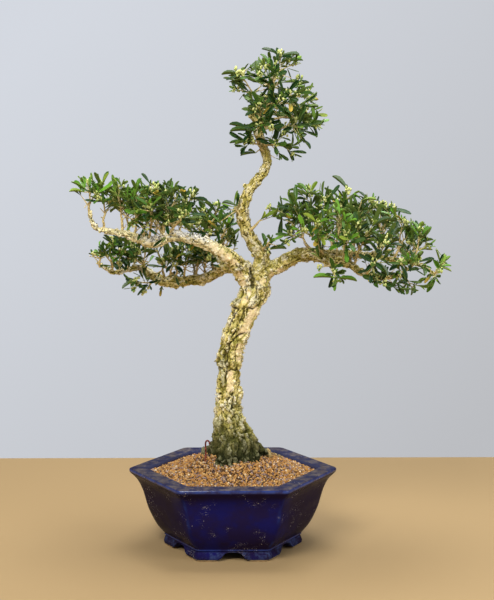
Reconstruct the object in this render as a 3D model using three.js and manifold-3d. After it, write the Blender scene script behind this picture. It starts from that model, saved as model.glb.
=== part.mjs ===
// Harland boxwood bonsai in a glazed hexagonal pot. Millimetres, +Z up, front towards -Y.
// The numbers below are written with the pot's axis at X = Y = 0 and the table at Z = 0.
import * as THREE from "three";
import { mergeVertices } from "three/addons/utils/BufferGeometryUtils.js";
import Module from "manifold-3d";

const wasm = await Module();
wasm.setup();

// Driving dimensions of the pot
const POT_CORNER_BEVEL = 3;
const POT_HEIGHT = 77;
const FLOOR_TOP = 17;
const FLOOR_UNDERSIDE = 9.6;
const DRAIN_RADIUS = 11;
const FOOT_WALL_OUTSIDE = [
  [66.5, 0],
  [69, 3.5],
  [67, 9.3],
  [68.6, 10.4],
];
// Distance from the axis to a corner, and height, up the outside of the wall
const POT_OUTSIDE = [
  [68.2, 11.6],
  [76.6, 21.8],
  [84.4, 37.7],
  [89.5, 55.4],
  [94.4, 65.2],
  [101, 72],
  [102.5, 74.6],
  [101.6, 76.4],
  [100, POT_HEIGHT],
];
// The same down the inside, from the lip to the floor
const POT_INSIDE = [
  [84.6, POT_HEIGHT],
  [83.6, 76],
  [84, 64],
  [78, 38],
  [70, 22],
  [65, FLOOR_TOP],
];
const FOOT_RING_INSIDE = 60;
const ARCH_HALF_OUTLINE = [
  [20.5, -2],
  [20.5, 0.3],
  [15.5, 1.5],
  [11.3, 4.1],
  [8.6, 7],
  [5, 8.4],
];
const ARCH_REACH = [46, 66];

// Driving dimensions of the soil, the root crown and the wire
const CLEARANCE = 0.35;
const SOIL_AT_WALL = 73.5;
const SOIL_RISE = 14;
const SOIL_SPREAD = 74;
const SOIL_ROUGHNESS = 1.6;
const SOIL_RINGS = 6;
const SOIL_SIDE_STEPS = 3;
const TRUNK_CENTRE = [4, 4];
const ROOT_LOBES = 5;
const ROOT_LOBE_SHARE = 0.16;
const ROOT_LOBES_TURN = 3.25;
const ROOT_LOBES_START = 108;
const ROOT_LOBES_FULL = 80;
const WIRE_RADIUS = 0.8;
const SCREEN_SIZE = 34;
const SCREEN_THICKNESS = 0.8;
const SCREEN_SLOTS = [-10.5, -3.5, 3.5, 10.5];
const SCREEN_SLOT = [4, 26];

// Driving dimensions of the leaves and shoots
const LEAF_LENGTH = [15.5, 19.5];
const LEAF_WIDTH = [5.2, 6.6];
// Share of the length, breadth as a share of the width, and thickness
const LEAF_SECTIONS = [
  [0.1, 0.22, 0.9],
  [0.42, 0.76, 0.9],
  [0.8, 1, 0.75],
];
const LEAF_TIP_BREADTH = 0.46;
const LEAF_DROOP = 0.08;
// How far a blade's upper face turns from the shoot's tip towards the sky
const LEAF_LIFT = 0.15;
const LEAF_PAIR_SPACING = 7.5;
const LEAF_PAIRS = 2;
const LEAF_SPREAD = [36, 56];
const LEAF_ATTEMPTS = 7;
const LEAF_SWING = 12;
// Half the thickness of the square stems
const FORK_RADIUS = 0.75;
const SHOOT_RADIUS = 0.55;
// Half the length of the pieces of stem that a side shoot and a leaf pair grow from
const FORK_HALF = 1;
const NODE_HALF = 0.5;
const FORK_STEP_OUT = 1.2;
const FORK_STEP_ON = 3;
const FORK_SHARE = 0.45;
const LONE_FORK_SHARE = 0.8;
const BUD_LENGTH = 3;
// Half breadth and length of a cluster of flower buds
const FLOWER_BUD = [1.5, 6];
const FLOWER_SHARE = 0.3;

// Limbs: the places x, y, z that the middle of the wood passes, and the radius there
const LIMBS = {
  trunk: [
    [0, 3, 64, 33],
    [0, 3, 81, 30.5],
    [0, 3, 91, 27],
    [0, 3, 102, 21.5],
    [-3, 3.5, 114, 16.8],
    [-5.5, 3, 128, 13.2],
    [-4, 2, 146, 11.6],
    [-4, 1, 163, 10.8],
    [-3, 0, 178, 11.2],
    [-2, -2, 193, 11.4],
    [2, -3, 206, 11.4],
    [8, -3, 221, 11.8],
    [14.3, -2, 235, 12.1],
    [19.4, 0, 246, 12.5],
    [23, 2, 256, 13],
    [26, 4, 267, 11],
    [28, 5, 276, 8.5],
  ],
  leader: [
    [28, 5, 271, 9],
    [28.3, 4, 283, 6.9],
    [20.4, 3, 295.9, 6.1],
    [13.6, 1, 309, 5.6],
    [9.5, -1, 323, 5.5],
    [11.2, -2, 337, 4.9],
    [15.9, -1, 347.9, 4.8],
    [23.6, 1, 357.8, 4.4],
    [30.1, 3, 366, 4.3],
    [33.2, 4, 375.2, 4.1],
    [30.4, 5, 386.7, 3.8],
    [26, 5, 399, 3.6],
    [25, 5, 411, 3.4],
    [29, 6, 422, 3],
    [34, 7, 434, 2.5],
    [37, 7, 445, 2],
    [39, 6, 454, 1.5],
  ],
  stub: [[26, 5, 409, 3.2], [21, 4, 416, 3], [17, 3, 421, 2.6]],
  right: [
    [24, 5, 269, 8],
    [35.9, 4, 271.6, 8.1],
    [47, 2, 276.8, 6.7],
    [58.1, 0, 283.5, 6.4],
    [68.9, -2, 286.6, 6.6],
    [79, -4, 286.4, 5.9],
    [88.9, -6, 282.9, 5.1],
    [100, -7, 280, 4.5],
    [110, -8, 278, 3.9],
    [122, -8, 270.6, 3.3],
    [135, -9, 264.7, 2.4],
    [149, -10, 265, 2.3],
    [160, -10, 268, 1.9],
  ],
  right_back: [
    [82, -4, 286, 4.4],
    [97, 4, 287, 3.8],
    [116, 12, 285, 3.3],
    [136, 18, 283, 3],
    [154, 18, 280, 2.7],
    [171, 14, 278, 2.4],
    [182, 8, 275, 2.1],
    [191, 4, 270, 1.7],
    [196, 2, 265, 1.5],
  ],
  left: [
    [19, 2, 250, 10],
    [13, -2, 266, 9.4],
    [5.6, -7, 275.8, 7.8],
    [-2.6, -13, 285, 6.6],
    [-11.5, -20, 291.1, 5.4],
    [-22.3, -27, 297.7, 4.9],
    [-35.3, -33, 302.9, 4.5],
    [-48.3, -37, 306.2, 4.1],
    [-58.9, -39, 306.2, 4.5],
    [-71, -40, 301.3, 4.7],
    [-81.7, -41, 302.1, 4.3],
    [-93.2, -41, 306.8, 3.5],
    [-105.2, -41, 310.3, 2.7],
    [-116.3, -40, 311.7, 2.4],
    [-126.4, -39, 314.5, 2.3],
    [-131.8, -39, 322.1, 1.9],
    [-133, -39, 331.1, 1.5],
  ],
  left_low: [
    [14, 4, 268, 6.8],
    [1.3, 12, 272, 5.8],
    [-9.5, 20, 270.5, 5.2],
    [-19.2, 27, 264, 5],
    [-31, 33, 258.6, 4.7],
    [-44, 38, 256.9, 4.6],
    [-57.1, 42, 254.8, 5.2],
    [-68, 45, 255, 5.2],
    [-80.1, 48, 260.9, 4.2],
    [-93.1, 50, 269.1, 2.9],
    [-106, 50, 267, 2.4],
    [-119, 49, 264, 2],
    [-129, 48, 270, 1.7],
    [-135, 48, 274, 1.5],
  ],
  left_back: [
    [10, 6, 265, 5.6],
    [-3, 16, 276, 4.8],
    [-16, 30, 284, 4],
    [-28, 40, 289, 3.4],
    [-42, 48, 293, 2.6],
    [-53, 53, 296, 2],
  ],
};
// Sides of each limb's rings, ring steps from place to place, and the share of the radius in its bark relief
const LIMB_FINENESS = {
  trunk: [12, 1.4, 0.1],
  leader: [8, 1, 0.09],
  stub: [7, 1, 0.05],
  right: [7, 1, 0.08],
  right_back: [6, 1, 0.05],
  left: [8, 1, 0.08],
  left_low: [7, 1, 0.06],
  left_back: [6, 1, 0.05],
};

// Leafy sprays: where each grows from its limb, then the ends of its shoots
const SPRAYS = {
  apex_01: [[39, 6, 452], [46, 0, 475], [58, 8, 468], [36, 12, 466]],
  apex_02: [[32, 6, 430], [7, -8, 458], [5, 10, 443]],
  apex_03: [[36, 6, 441], [26, -24, 456], [40, -26, 455]],
  apex_04: [[36, 7, 439], [29, 32, 453], [48, 34, 451]],
  apex_05: [[32, 6, 428], [51, -32, 440], [40, -42, 429], [63, -22, 429]],
  apex_06: [[34, 6, 435], [72, 4, 435], [63, 8, 453]],
  apex_07: [[26, 5, 416], [78, 8, 420], [66, 28, 417]],
  apex_08: [[25, 5, 405], [79, -8, 411], [60, -28, 408]],
  apex_09: [[31, 5, 384], [18, -12, 409], [13, -6, 394]],
  apex_10: [[25, 5, 407], [35, -38, 408], [25, -36, 427]],
  apex_11: [[28, 5, 391], [55, -2, 389], [41, -26, 393]],
  apex_12: [[27, 5, 418], [48, 40, 420], [27, 40, 426]],
  right_01: [[78, -4, 286], [48, -8, 328], [60, -14, 335], [54, -24, 308]],
  right_02: [[84, -5, 285], [73, 8, 348], [63, 14, 324], [91, -12, 341]],
  right_03: [[88, -5, 284], [79, -46, 319], [68, -34, 312]],
  right_04: [[99, -7, 280], [110, 2, 345], [100, 16, 335]],
  right_05: [[106, -7, 279], [108, -56, 305], [100, -40, 326]],
  right_06: [[111, -8, 277], [133, -4, 337], [120, -16, 332]],
  right_07: [[140, 18, 283], [154, 14, 330], [145, 32, 323]],
  right_08: [[116, -8, 274], [117, -38, 316], [131, -34, 316]],
  right_09: [[128, -8, 268], [145, -46, 305], [131, -50, 284]],
  right_10: [[157, 17, 279], [163, 0, 318], [173, 20, 306]],
  right_11: [[174, 12, 278], [181, 4, 310], [189, 10, 293]],
  right_12: [[194, 3, 267], [206, 2, 280], [198, -12, 272]],
  right_13: [[158, -10, 267], [171, -14, 256], [158, -42, 283], [175, -26, 281]],
  right_14: [[145, -10, 265], [153, -26, 257], [135, -36, 265]],
  right_15: [[95, -7, 281], [97, -28, 266], [83, -24, 276]],
  right_16: [[97, 4, 287], [84, 42, 321], [99, 54, 308]],
  right_17: [[116, 12, 285], [116, 44, 328], [126, 60, 302]],
  right_18: [[136, 18, 283], [153, 54, 312], [163, 54, 296]],
  right_19: [[165, 16, 278], [185, 36, 295], [175, 46, 280]],
  left_01: [[-133, -39, 330], [-134, -38, 356], [-126, -50, 347]],
  left_02: [[-120, -40, 313], [-121, -42, 353], [-113, -32, 338]],
  left_03: [[-104, -41, 310], [-106, -44, 352], [-102, -24, 342]],
  left_04: [[-92, -41, 306], [-89, -46, 349], [-81, -28, 344], [-89, -64, 329]],
  left_05: [[-77, -40, 301], [-71, -48, 352], [-76, -62, 335]],
  left_06: [[-68, -40, 303], [-60, -38, 350], [-50, -54, 347]],
  left_07: [[-60, -39, 306], [-38, -42, 343], [-42, -62, 329]],
  left_08: [[-97, -41, 308], [-96, -8, 341], [-108, -4, 333]],
  left_09: [[-71, -40, 301], [-65, -4, 341], [-79, 2, 333]],
  left_10: [[-49, -37, 306], [-44, -10, 332], [-54, 4, 319]],
  low_01: [[-132, 48, 271], [-137, 46, 283], [-125, 36, 290]],
  low_02: [[-114, 50, 265], [-122, 66, 279], [-106, 26, 288]],
  low_03: [[-72, 46, 257], [-97, 32, 256], [-86, 40, 247]],
  low_04: [[-86, 49, 264], [-85, 30, 292], [-97, 32, 278]],
  low_05: [[-61, 43, 255], [-54, 24, 284], [-69, 28, 276]],
  low_06: [[-98, 50, 268], [-103, 66, 295], [-94, 80, 284]],
  low_07: [[-39, 36, 257], [-30, 58, 282], [-45, 64, 284]],
  back_01: [[-25, 38, 288], [-14, 42, 331], [-25, 50, 320]],
  back_02: [[-17, 31, 285], [1, 30, 323], [-6, 18, 312]],
  back_03: [[-37, 45, 292], [-29, 66, 313], [-41, 60, 303]],
  back_04: [[-11, 25, 281], [-5, 50, 298], [5, 38, 289]],
  leader_01: [[10, -1, 320], [1, -11, 333]],
  leader_02: [[15, 1, 308], [27, -13, 321]],
  leader_03: [[25, 4, 289], [36, -9, 300]],
};

// Route of the anchor wire: hook beside the root crown, down through the soil, the screen and the drain hole
const WIRE_ROUTE = [
  [-28, -14, 102],
  [-27.4, -14, 105.6],
  [-25, -14, 107.6],
  [-23.2, -14.4, 105],
  [-23.2, -15, 99],
  [-27, -16, 91],
  [-30, -18, 63],
  [-14, -8, 34],
  [-3.5, -3, 21],
  [-3.5, -3, 9],
  [-7, -4, 6.6],
  [-16, -7, 6.2],
];

const MATERIALS = {
  glaze: new THREE.MeshStandardMaterial({ color: 0x1c1f5c, roughness: 0.16, metalness: 0 }),
  soil: new THREE.MeshStandardMaterial({ color: 0xa5885c, roughness: 0.95, metalness: 0 }),
  bark: new THREE.MeshStandardMaterial({ color: 0xa89c6c, roughness: 0.9, metalness: 0 }),
  copper: new THREE.MeshStandardMaterial({ color: 0x8a4a30, roughness: 0.4, metalness: 0.9 }),
  plastic: new THREE.MeshStandardMaterial({ color: 0x23262a, roughness: 0.6, metalness: 0 }),
  leaf: new THREE.MeshStandardMaterial({ color: 0x2f5d24, roughness: 0.4, metalness: 0 }),
};

const UP = new THREE.Vector3(0, 0, 1);
const mix = (range, share) => range[0] + (range[1] - range[0]) * share;
const vector = ([x, y, z]) => new THREE.Vector3(x, y, z);

// A repeatable random number from 0 to 1 for three counters
function chance(i, j, k) {
  const wave = Math.sin(i * 12.9898 + j * 78.233 + k * 37.719) * 43758.5453;
  return wave - Math.floor(wave);
}

function smoothstep(from, to, value) {
  const t = Math.min(Math.max((value - from) / (to - from), 0), 1);
  return t * t * (3 - 2 * t);
}

// Collects the points and triangles of one closed skin. A ring runs round its growing direction
// counter-clockwise, seen from the far end.
class Skin {
  constructor() {
    this.positions = [];
    this.triangles = [];
  }

  add(points) {
    const first = this.positions.length / 3;
    for (const point of points) this.positions.push(point.x, point.y, point.z);
    return points.map((_, i) => first + i);
  }

  fill([first, ...others]) {
    for (let i = 0; i < others.length - 1; i++) this.triangles.push(first, others[i], others[i + 1]);
  }

  // Joins two rings of equal counts. A side named in growths stays open, and what grows there closes it.
  bridge(lower, upper, growths = {}) {
    lower.forEach((corner, j) => {
      const k = (j + 1) % lower.length;
      const opening = [corner, lower[k], upper[k], upper[j]];
      if (growths[j]) growths[j](opening);
      else this.fill(opening);
    });
  }

  close(ring) {
    this.fill(ring);
  }

  closeStart(ring) {
    this.fill([...ring].reverse());
  }

  point(ring, place) {
    const [apex] = this.add([place]);
    ring.forEach((corner, j) => this.fill([corner, ring[(j + 1) % ring.length], apex]));
  }

  solid() {
    return new wasm.Manifold(
      new wasm.Mesh({
        numProp: 3,
        vertProperties: new Float32Array(this.positions),
        triVerts: new Uint32Array(this.triangles),
      }),
    );
  }
}

// A closed skin over a row of rings
function loft(rings) {
  const skin = new Skin();
  const corners = rings.map((ring) => skin.add(ring));
  skin.closeStart(corners[0]);
  for (let i = 1; i < corners.length; i++) skin.bridge(corners[i - 1], corners[i]);
  skin.close(corners[corners.length - 1]);
  return skin.solid();
}

function solidOf(geometry) {
  const plain = geometry.clone();
  plain.deleteAttribute("normal");
  plain.deleteAttribute("uv");
  const merged = mergeVertices(plain, 1e-4);
  return new wasm.Manifold(
    new wasm.Mesh({
      numProp: 3,
      vertProperties: new Float32Array(merged.attributes.position.array),
      triVerts: new Uint32Array(merged.index.array),
    }),
  );
}

function geometryOf(solid) {
  const mesh = solid.getMesh();
  const geometry = new THREE.BufferGeometry();
  geometry.setAttribute("position", new THREE.BufferAttribute(mesh.vertProperties, 3));
  geometry.setIndex(new THREE.BufferAttribute(mesh.triVerts, 1));
  return geometry;
}

function meshOf(name, solid, material) {
  const mesh = new THREE.Mesh(geometryOf(solid), material);
  mesh.name = name;
  return mesh;
}

// Points of a ring of `sides` around a place, square to a direction, starting at the given side vector
function ringAround(centre, direction, sideways, radiusAt, sides) {
  const across = sideways.clone().addScaledVector(direction, -sideways.dot(direction)).normalize();
  const other = new THREE.Vector3().crossVectors(direction, across);
  const ring = [];
  for (let j = 0; j < sides; j++) {
    const angle = (2 * Math.PI * j) / sides;
    const radius = radiusAt(angle, j);
    const point = centre.clone();
    point.addScaledVector(across, radius * Math.cos(angle));
    point.addScaledVector(other, radius * Math.sin(angle));
    ring.push(point);
  }
  return ring;
}

// One limb of the tree, thickened by `grow` where the clearance around it is wanted
function limb(name, grow) {
  const path = LIMBS[name];
  const [sides, steps, relief] = LIMB_FINENESS[name];
  const spans = path.length - 1;
  const curve = new THREE.CatmullRomCurve3(path.map(vector), false, "catmullrom", 0.5);
  const count = Math.round(spans * steps);
  const rings = [];
  let sideways = new THREE.Vector3(0.3, 1, 0.2);
  for (let i = 0; i <= count; i++) {
    const place = (spans * i) / count;
    const k = Math.min(Math.floor(place), spans - 1);
    const centre = curve.getPoint(i / count);
    const direction = curve.getTangent(i / count).normalize();
    const base = mix([path[k][3], path[k + 1][3]], place - k);
    const lobes = name === "trunk" ? 1 - smoothstep(ROOT_LOBES_FULL, ROOT_LOBES_START, centre.z) : 0;
    if (i === 0) centre.addScaledVector(direction, -grow);
    if (i === count) centre.addScaledVector(direction, grow);
    sideways = sideways.clone().addScaledVector(direction, -sideways.dot(direction)).normalize();
    rings.push(
      ringAround(
        centre,
        direction,
        sideways,
        (angle, j) => {
          const waves = 0.5 * Math.sin(3 * angle + 0.5 * i) + 1.1 * (chance(i, j, sides) - 0.5);
          const roots = lobes * ROOT_LOBE_SHARE * Math.cos(ROOT_LOBES * angle + ROOT_LOBES_TURN);
          return base * (1 + relief * waves + roots) + grow;
        },
        sides,
      ),
    );
  }
  return loft(rings);
}

function wood(grow) {
  return wasm.Manifold.union(Object.keys(LIMBS).map((name) => limb(name, grow)));
}

// Twelve points of a hexagon with bevelled corners, or of a circle when round is set
function potRing([radius, z], round = false) {
  const ring = [];
  for (let corner = 0; corner < 6; corner++) {
    for (const side of [-1, 1]) {
      const angle = (Math.PI / 3) * corner;
      if (round) {
        const turned = angle + (side * Math.PI) / 12;
        ring.push(new THREE.Vector3(radius * Math.cos(turned), radius * Math.sin(turned), z));
        continue;
      }
      const point = new THREE.Vector3(radius * Math.cos(angle), radius * Math.sin(angle), z);
      const along = angle + side * ((2 * Math.PI) / 3);
      point.x += POT_CORNER_BEVEL * Math.cos(along);
      point.y += POT_CORNER_BEVEL * Math.sin(along);
      ring.push(point);
    }
  }
  return ring;
}

// The opening between two feet, cut through the foot ring at the middle of a side
function footArch(turn) {
  const right = ARCH_HALF_OUTLINE.map(([x, y]) => new THREE.Vector2(x, y));
  const left = ARCH_HALF_OUTLINE.map(([x, y]) => new THREE.Vector2(-x, y)).reverse();
  const outline = new THREE.Shape([...right, ...left]);
  const depth = ARCH_REACH[1] - ARCH_REACH[0];
  const arch = new THREE.ExtrudeGeometry(outline, { depth, bevelEnabled: false });
  // The outline stands upright, then slides outwards and turns to its side of the hexagon
  arch.rotateX(Math.PI / 2);
  arch.translate(0, -ARCH_REACH[0], 0);
  arch.rotateZ(turn);
  return solidOf(arch);
}

function pot() {
  const rings = [
    ...FOOT_WALL_OUTSIDE.map((step) => potRing(step)),
    ...POT_OUTSIDE.map((step) => potRing(step)),
    ...POT_INSIDE.map((step) => potRing(step)),
    potRing([DRAIN_RADIUS, FLOOR_TOP - 0.5], true),
    potRing([DRAIN_RADIUS, FLOOR_UNDERSIDE], true),
    potRing([FOOT_RING_INSIDE, FLOOR_UNDERSIDE]),
    potRing([FOOT_RING_INSIDE, 0]),
  ];
  const skin = new Skin();
  const corners = rings.map((ring) => skin.add(ring));
  corners.forEach((ring, i) => skin.bridge(ring, corners[(i + 1) % corners.length]));
  let body = skin.solid();
  for (let side = 0; side < 6; side++) body = body.subtract(footArch((Math.PI / 3) * side));
  return body;
}

// Splits each long side of a bevelled hexagon ring into equal steps
function splitSides(ring) {
  const finer = [];
  ring.forEach((point, j) => {
    const next = ring[(j + 1) % ring.length];
    const steps = j % 2 === 1 ? SOIL_SIDE_STEPS : 1;
    for (let step = 0; step < steps; step++) finer.push(point.clone().lerp(next, step / steps));
  });
  return finer;
}

function soilHeight(x, y) {
  const away = Math.hypot(x - TRUNK_CENTRE[0], y - TRUNK_CENTRE[1]);
  return SOIL_AT_WALL + SOIL_RISE * smoothstep(SOIL_SPREAD, 18, away);
}

function soil(trunk, wire) {
  const inset = CLEARANCE + 0.1;
  const sides = POT_INSIDE.filter(([, z]) => z < SOIL_AT_WALL).reverse();
  const rings = sides.map(([radius, z]) => splitSides(potRing([radius - inset, z])));
  rings[0].forEach((point) => (point.z += CLEARANCE));
  const rim = splitSides(potRing([POT_INSIDE[1][0] - inset, SOIL_AT_WALL]));
  for (let i = 0; i < SOIL_RINGS; i++) {
    const share = 1 - i / SOIL_RINGS;
    rings.push(
      rim.map((point, j) => {
        const x = point.x * share;
        const y = point.y * share;
        const grain = SOIL_ROUGHNESS * (chance(i, j, 3) - 0.5);
        return new THREE.Vector3(x, y, soilHeight(x, y) + grain);
      }),
    );
  }
  const skin = new Skin();
  const corners = rings.map((ring) => skin.add(ring));
  skin.closeStart(corners[0]);
  for (let i = 1; i < corners.length; i++) skin.bridge(corners[i - 1], corners[i]);
  skin.point(corners[corners.length - 1], new THREE.Vector3(0, 0, soilHeight(0, 0)));
  const pocket = SCREEN_SIZE + 2 * CLEARANCE;
  const screenSpace = block(pocket, pocket, 2 * (SCREEN_THICKNESS + 2 * CLEARANCE), 0, FLOOR_TOP);
  return skin.solid().subtract(screenSpace).subtract(trunk).subtract(wire);
}

function block(width, depth, height, x, z) {
  return solidOf(new THREE.BoxGeometry(width, depth, height).translate(x, 0, z));
}

function drainScreen() {
  const middle = FLOOR_TOP + CLEARANCE + SCREEN_THICKNESS / 2;
  const plate = block(SCREEN_SIZE, SCREEN_SIZE, SCREEN_THICKNESS, 0, middle);
  const [wide, long] = SCREEN_SLOT;
  const slots = SCREEN_SLOTS.map((x) => block(wide, long, 3 * SCREEN_THICKNESS, x, middle));
  return slots.reduce((screen, slot) => screen.subtract(slot), plate);
}

function tieWire(grow) {
  const curve = new THREE.CatmullRomCurve3(WIRE_ROUTE.map(vector), false, "catmullrom", 0.5);
  const count = WIRE_ROUTE.length - 1;
  const rings = [];
  const sideways = new THREE.Vector3(-0.4, 1, 0);
  for (let i = 0; i <= count; i++) {
    const direction = curve.getTangent(i / count).normalize();
    rings.push(ringAround(curve.getPoint(i / count), direction, sideways, () => WIRE_RADIUS + grow, 6));
  }
  return loft(rings);
}

// Four corners of a flat section, across by thick; across x face is the direction that it grows in
function section(centre, across, face, halfWidth, halfThickness) {
  const corner = (x, y) => centre.clone().addScaledVector(across, x).addScaledVector(face, y);
  return [
    corner(-halfWidth, -halfThickness),
    corner(halfWidth, -halfThickness),
    corner(halfWidth, halfThickness),
    corner(-halfWidth, halfThickness),
  ];
}

// The vector made square to a direction
function squareTo(direction, vector) {
  return vector.clone().addScaledVector(direction, -vector.dot(direction)).normalize();
}

// Everything that a new stem or blade must keep clear of
const placed = [];

function boxesMeet(a, b) {
  return [0, 1, 2].every((i) => a.min[i] - CLEARANCE < b.max[i] && b.min[i] - CLEARANCE < a.max[i]);
}

function isClear(solid, ignored) {
  const box = solid.boundingBox();
  return placed.every((other) => {
    if (ignored.includes(other.owner) || !boxesMeet(box, other.box)) return true;
    return solid.minGap(other.solid, CLEARANCE) > 0.9 * CLEARANCE;
  });
}

function place(solid, owner) {
  placed.push({ solid, owner, box: solid.boundingBox() });
}

// A spoon-shaped boxwood blade: sections along its length, then the two ends of its tip
function bladeShape(root, along, face, length, width) {
  const across = new THREE.Vector3().crossVectors(face, along);
  const middle = (share) => {
    const drop = -LEAF_DROOP * length * share * share;
    return root.clone().addScaledVector(along, length * share).addScaledVector(face, drop);
  };
  const [stalk, ...wide] = LEAF_SECTIONS.map(([share, breadth, thickness]) =>
    section(middle(share), across, face, (breadth * width) / 2, thickness / 2),
  );
  const tipHalf = (LEAF_TIP_BREADTH * width) / 2;
  const tip = [-tipHalf, tipHalf].map((side) => middle(1).addScaledVector(across, side));
  return { stalk, wide, tip };
}

// Grows a blade out of an opening, or out of its own stalk section
function growBlade(skin, opening, { wide, tip }) {
  let ring = opening;
  for (const points of wide) {
    const next = skin.add(points);
    skin.bridge(ring, next);
    ring = next;
  }
  const [left, right] = skin.add(tip);
  skin.fill([ring[0], ring[1], right, left]);
  skin.fill([ring[1], ring[2], right]);
  skin.fill([ring[2], ring[3], left, right]);
  skin.fill([ring[3], ring[0], left]);
}

function loneBlade(shape) {
  const skin = new Skin();
  const stalk = skin.add(shape.stalk);
  skin.closeStart(stalk);
  growBlade(skin, stalk, shape);
  return skin.solid();
}

// The place, frame and bud of each shoot of a spray. The stems are square, as young boxwood is.
function planSpray(name, number) {
  const [root, ...tips] = SPRAYS[name].map(vector);
  const middle = tips.reduce((sum, tip) => sum.add(tip), new THREE.Vector3()).divideScalar(tips.length);
  const fork = root.clone().lerp(middle, tips.length > 1 ? FORK_SHARE : LONE_FORK_SHARE);
  const twig = fork.clone().sub(root).normalize();
  // The shoot that runs on most nearly straight is the main one
  const onwards = (tip) => tip.clone().sub(fork).normalize().dot(twig);
  tips.sort((a, b) => onwards(b) - onwards(a));
  const shoots = tips.map((tip, j) => ({
    tip,
    start: fork,
    direction: tip.clone().sub(fork).normalize(),
    flowering: chance(number, j, 9) < FLOWER_SHARE,
    owner: name + " " + j,
    seed: number * 5 + j,
    pairs: [],
  }));
  const [main, ...others] = shoots;
  const aim = others.length ? others[0].direction : new THREE.Vector3(1, 0.3, 0.2);
  main.across = squareTo(main.direction, aim);
  main.face = new THREE.Vector3().crossVectors(main.direction, main.across);
  const normals = faceNormals(main);
  for (const shoot of others) {
    const free = [0, 1, 2, 3].filter((side) => !others.some((other) => other.side === side));
    const turned = free.map((side) => normals[side].dot(shoot.direction));
    shoot.side = free[turned.indexOf(Math.max(...turned))];
    const out = normals[shoot.side];
    shoot.start = fork.clone().addScaledVector(out, FORK_STEP_OUT);
    shoot.start.addScaledVector(shoot.direction, FORK_STEP_ON);
    shoot.direction = shoot.tip.clone().sub(shoot.start).normalize();
    shoot.face = squareTo(shoot.direction, main.direction);
    shoot.across = new THREE.Vector3().crossVectors(shoot.face, shoot.direction);
  }
  return { name, root, fork, twig, shoots };
}

// Outward directions of a square stem's four sides, in the order of its ring's corners
function faceNormals({ across, face }) {
  return [face.clone().negate(), across.clone(), face.clone(), across.clone().negate()];
}

function stemRing(shoot, centre, radius) {
  return section(centre, shoot.across, shoot.face, radius, radius);
}

// A plain stick from a spray's foot or fork to a shoot's tip, to keep other pieces clear of it
function stickBetween(shoot, from, to) {
  return loft([from, to].map((end) => stemRing(shoot, end, FORK_RADIUS)));
}

// Finds a clear place for one leaf of a pair, turned or shortened a little where its first one is taken
function planLeaf(shoot, pair, side) {
  const away = pair * LEAF_PAIR_SPACING;
  const root = shoot.tip.clone().addScaledVector(shoot.direction, -away);
  const outwards = faceNormals(shoot)[side];
  const seed = shoot.seed * 8 + pair * 4 + side;
  for (let attempt = 0; attempt < LEAF_ATTEMPTS; attempt++) {
    const swing = (attempt % 2 ? 1 : -1) * Math.ceil(attempt / 2) * LEAF_SWING;
    const turn = swing + 20 * (chance(seed, 4, 4) - 0.5);
    const spread = LEAF_SPREAD[pair] + 14 * (chance(seed, 1, 4) - 0.5) + 2 * attempt;
    const length = mix(LEAF_LENGTH, chance(seed, 2, 4)) * (1 - 0.04 * attempt);
    const width = mix(LEAF_WIDTH, chance(seed, 3, 4)) * (1 - 0.04 * attempt);
    const out = outwards.clone().applyAxisAngle(shoot.direction, THREE.MathUtils.degToRad(turn));
    const along = shoot.direction.clone().multiplyScalar(Math.cos(THREE.MathUtils.degToRad(spread)));
    along.addScaledVector(out, Math.sin(THREE.MathUtils.degToRad(spread)));
    const face = squareTo(along, shoot.direction.clone().addScaledVector(UP, LEAF_LIFT));
    const start = root.clone().addScaledVector(outwards, SHOOT_RADIUS);
    const shape = bladeShape(start, along, face, length, width);
    const partner = shoot.owner + " pair " + pair;
    const solid = loneBlade(shape);
    if (isClear(solid, [shoot.owner, partner])) {
      place(solid, partner);
      return shape;
    }
  }
  return null;
}

// Runs the four edges of a twig back from the fork until they reach the clearance around the wood
function twigRoot(fork, forkRing, root, barkMesh) {
  const caster = new THREE.Raycaster();
  const towards = root.clone().sub(fork).normalize();
  return forkRing.map((point) => {
    caster.set(point, towards);
    return caster.intersectObject(barkMesh)[0].point;
  });
}

function growShoot(skin, ring, shoot) {
  const pairs = shoot.pairs.filter(({ leaves }) => Object.keys(leaves).length);
  for (const { pair, leaves } of pairs) {
    const growths = {};
    for (const [side, shape] of Object.entries(leaves)) {
      growths[side] = (opening) => growBlade(skin, opening, shape);
    }
    const [lower, upper] = [-NODE_HALF, NODE_HALF].map((step) => {
      const centre = shoot.tip.clone().addScaledVector(shoot.direction, step - pair * LEAF_PAIR_SPACING);
      return skin.add(stemRing(shoot, centre, SHOOT_RADIUS));
    });
    skin.bridge(ring, lower);
    skin.bridge(lower, upper, growths);
    ring = upper;
  }
  const [swell, length] = shoot.flowering ? FLOWER_BUD : [0, BUD_LENGTH];
  if (shoot.flowering) {
    const widest = shoot.tip.clone().addScaledVector(shoot.direction, length * 0.5);
    const bud = skin.add(stemRing(shoot, widest, swell));
    skin.bridge(ring, bud);
    ring = bud;
  }
  skin.point(ring, shoot.tip.clone().addScaledVector(shoot.direction, length));
}

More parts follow.
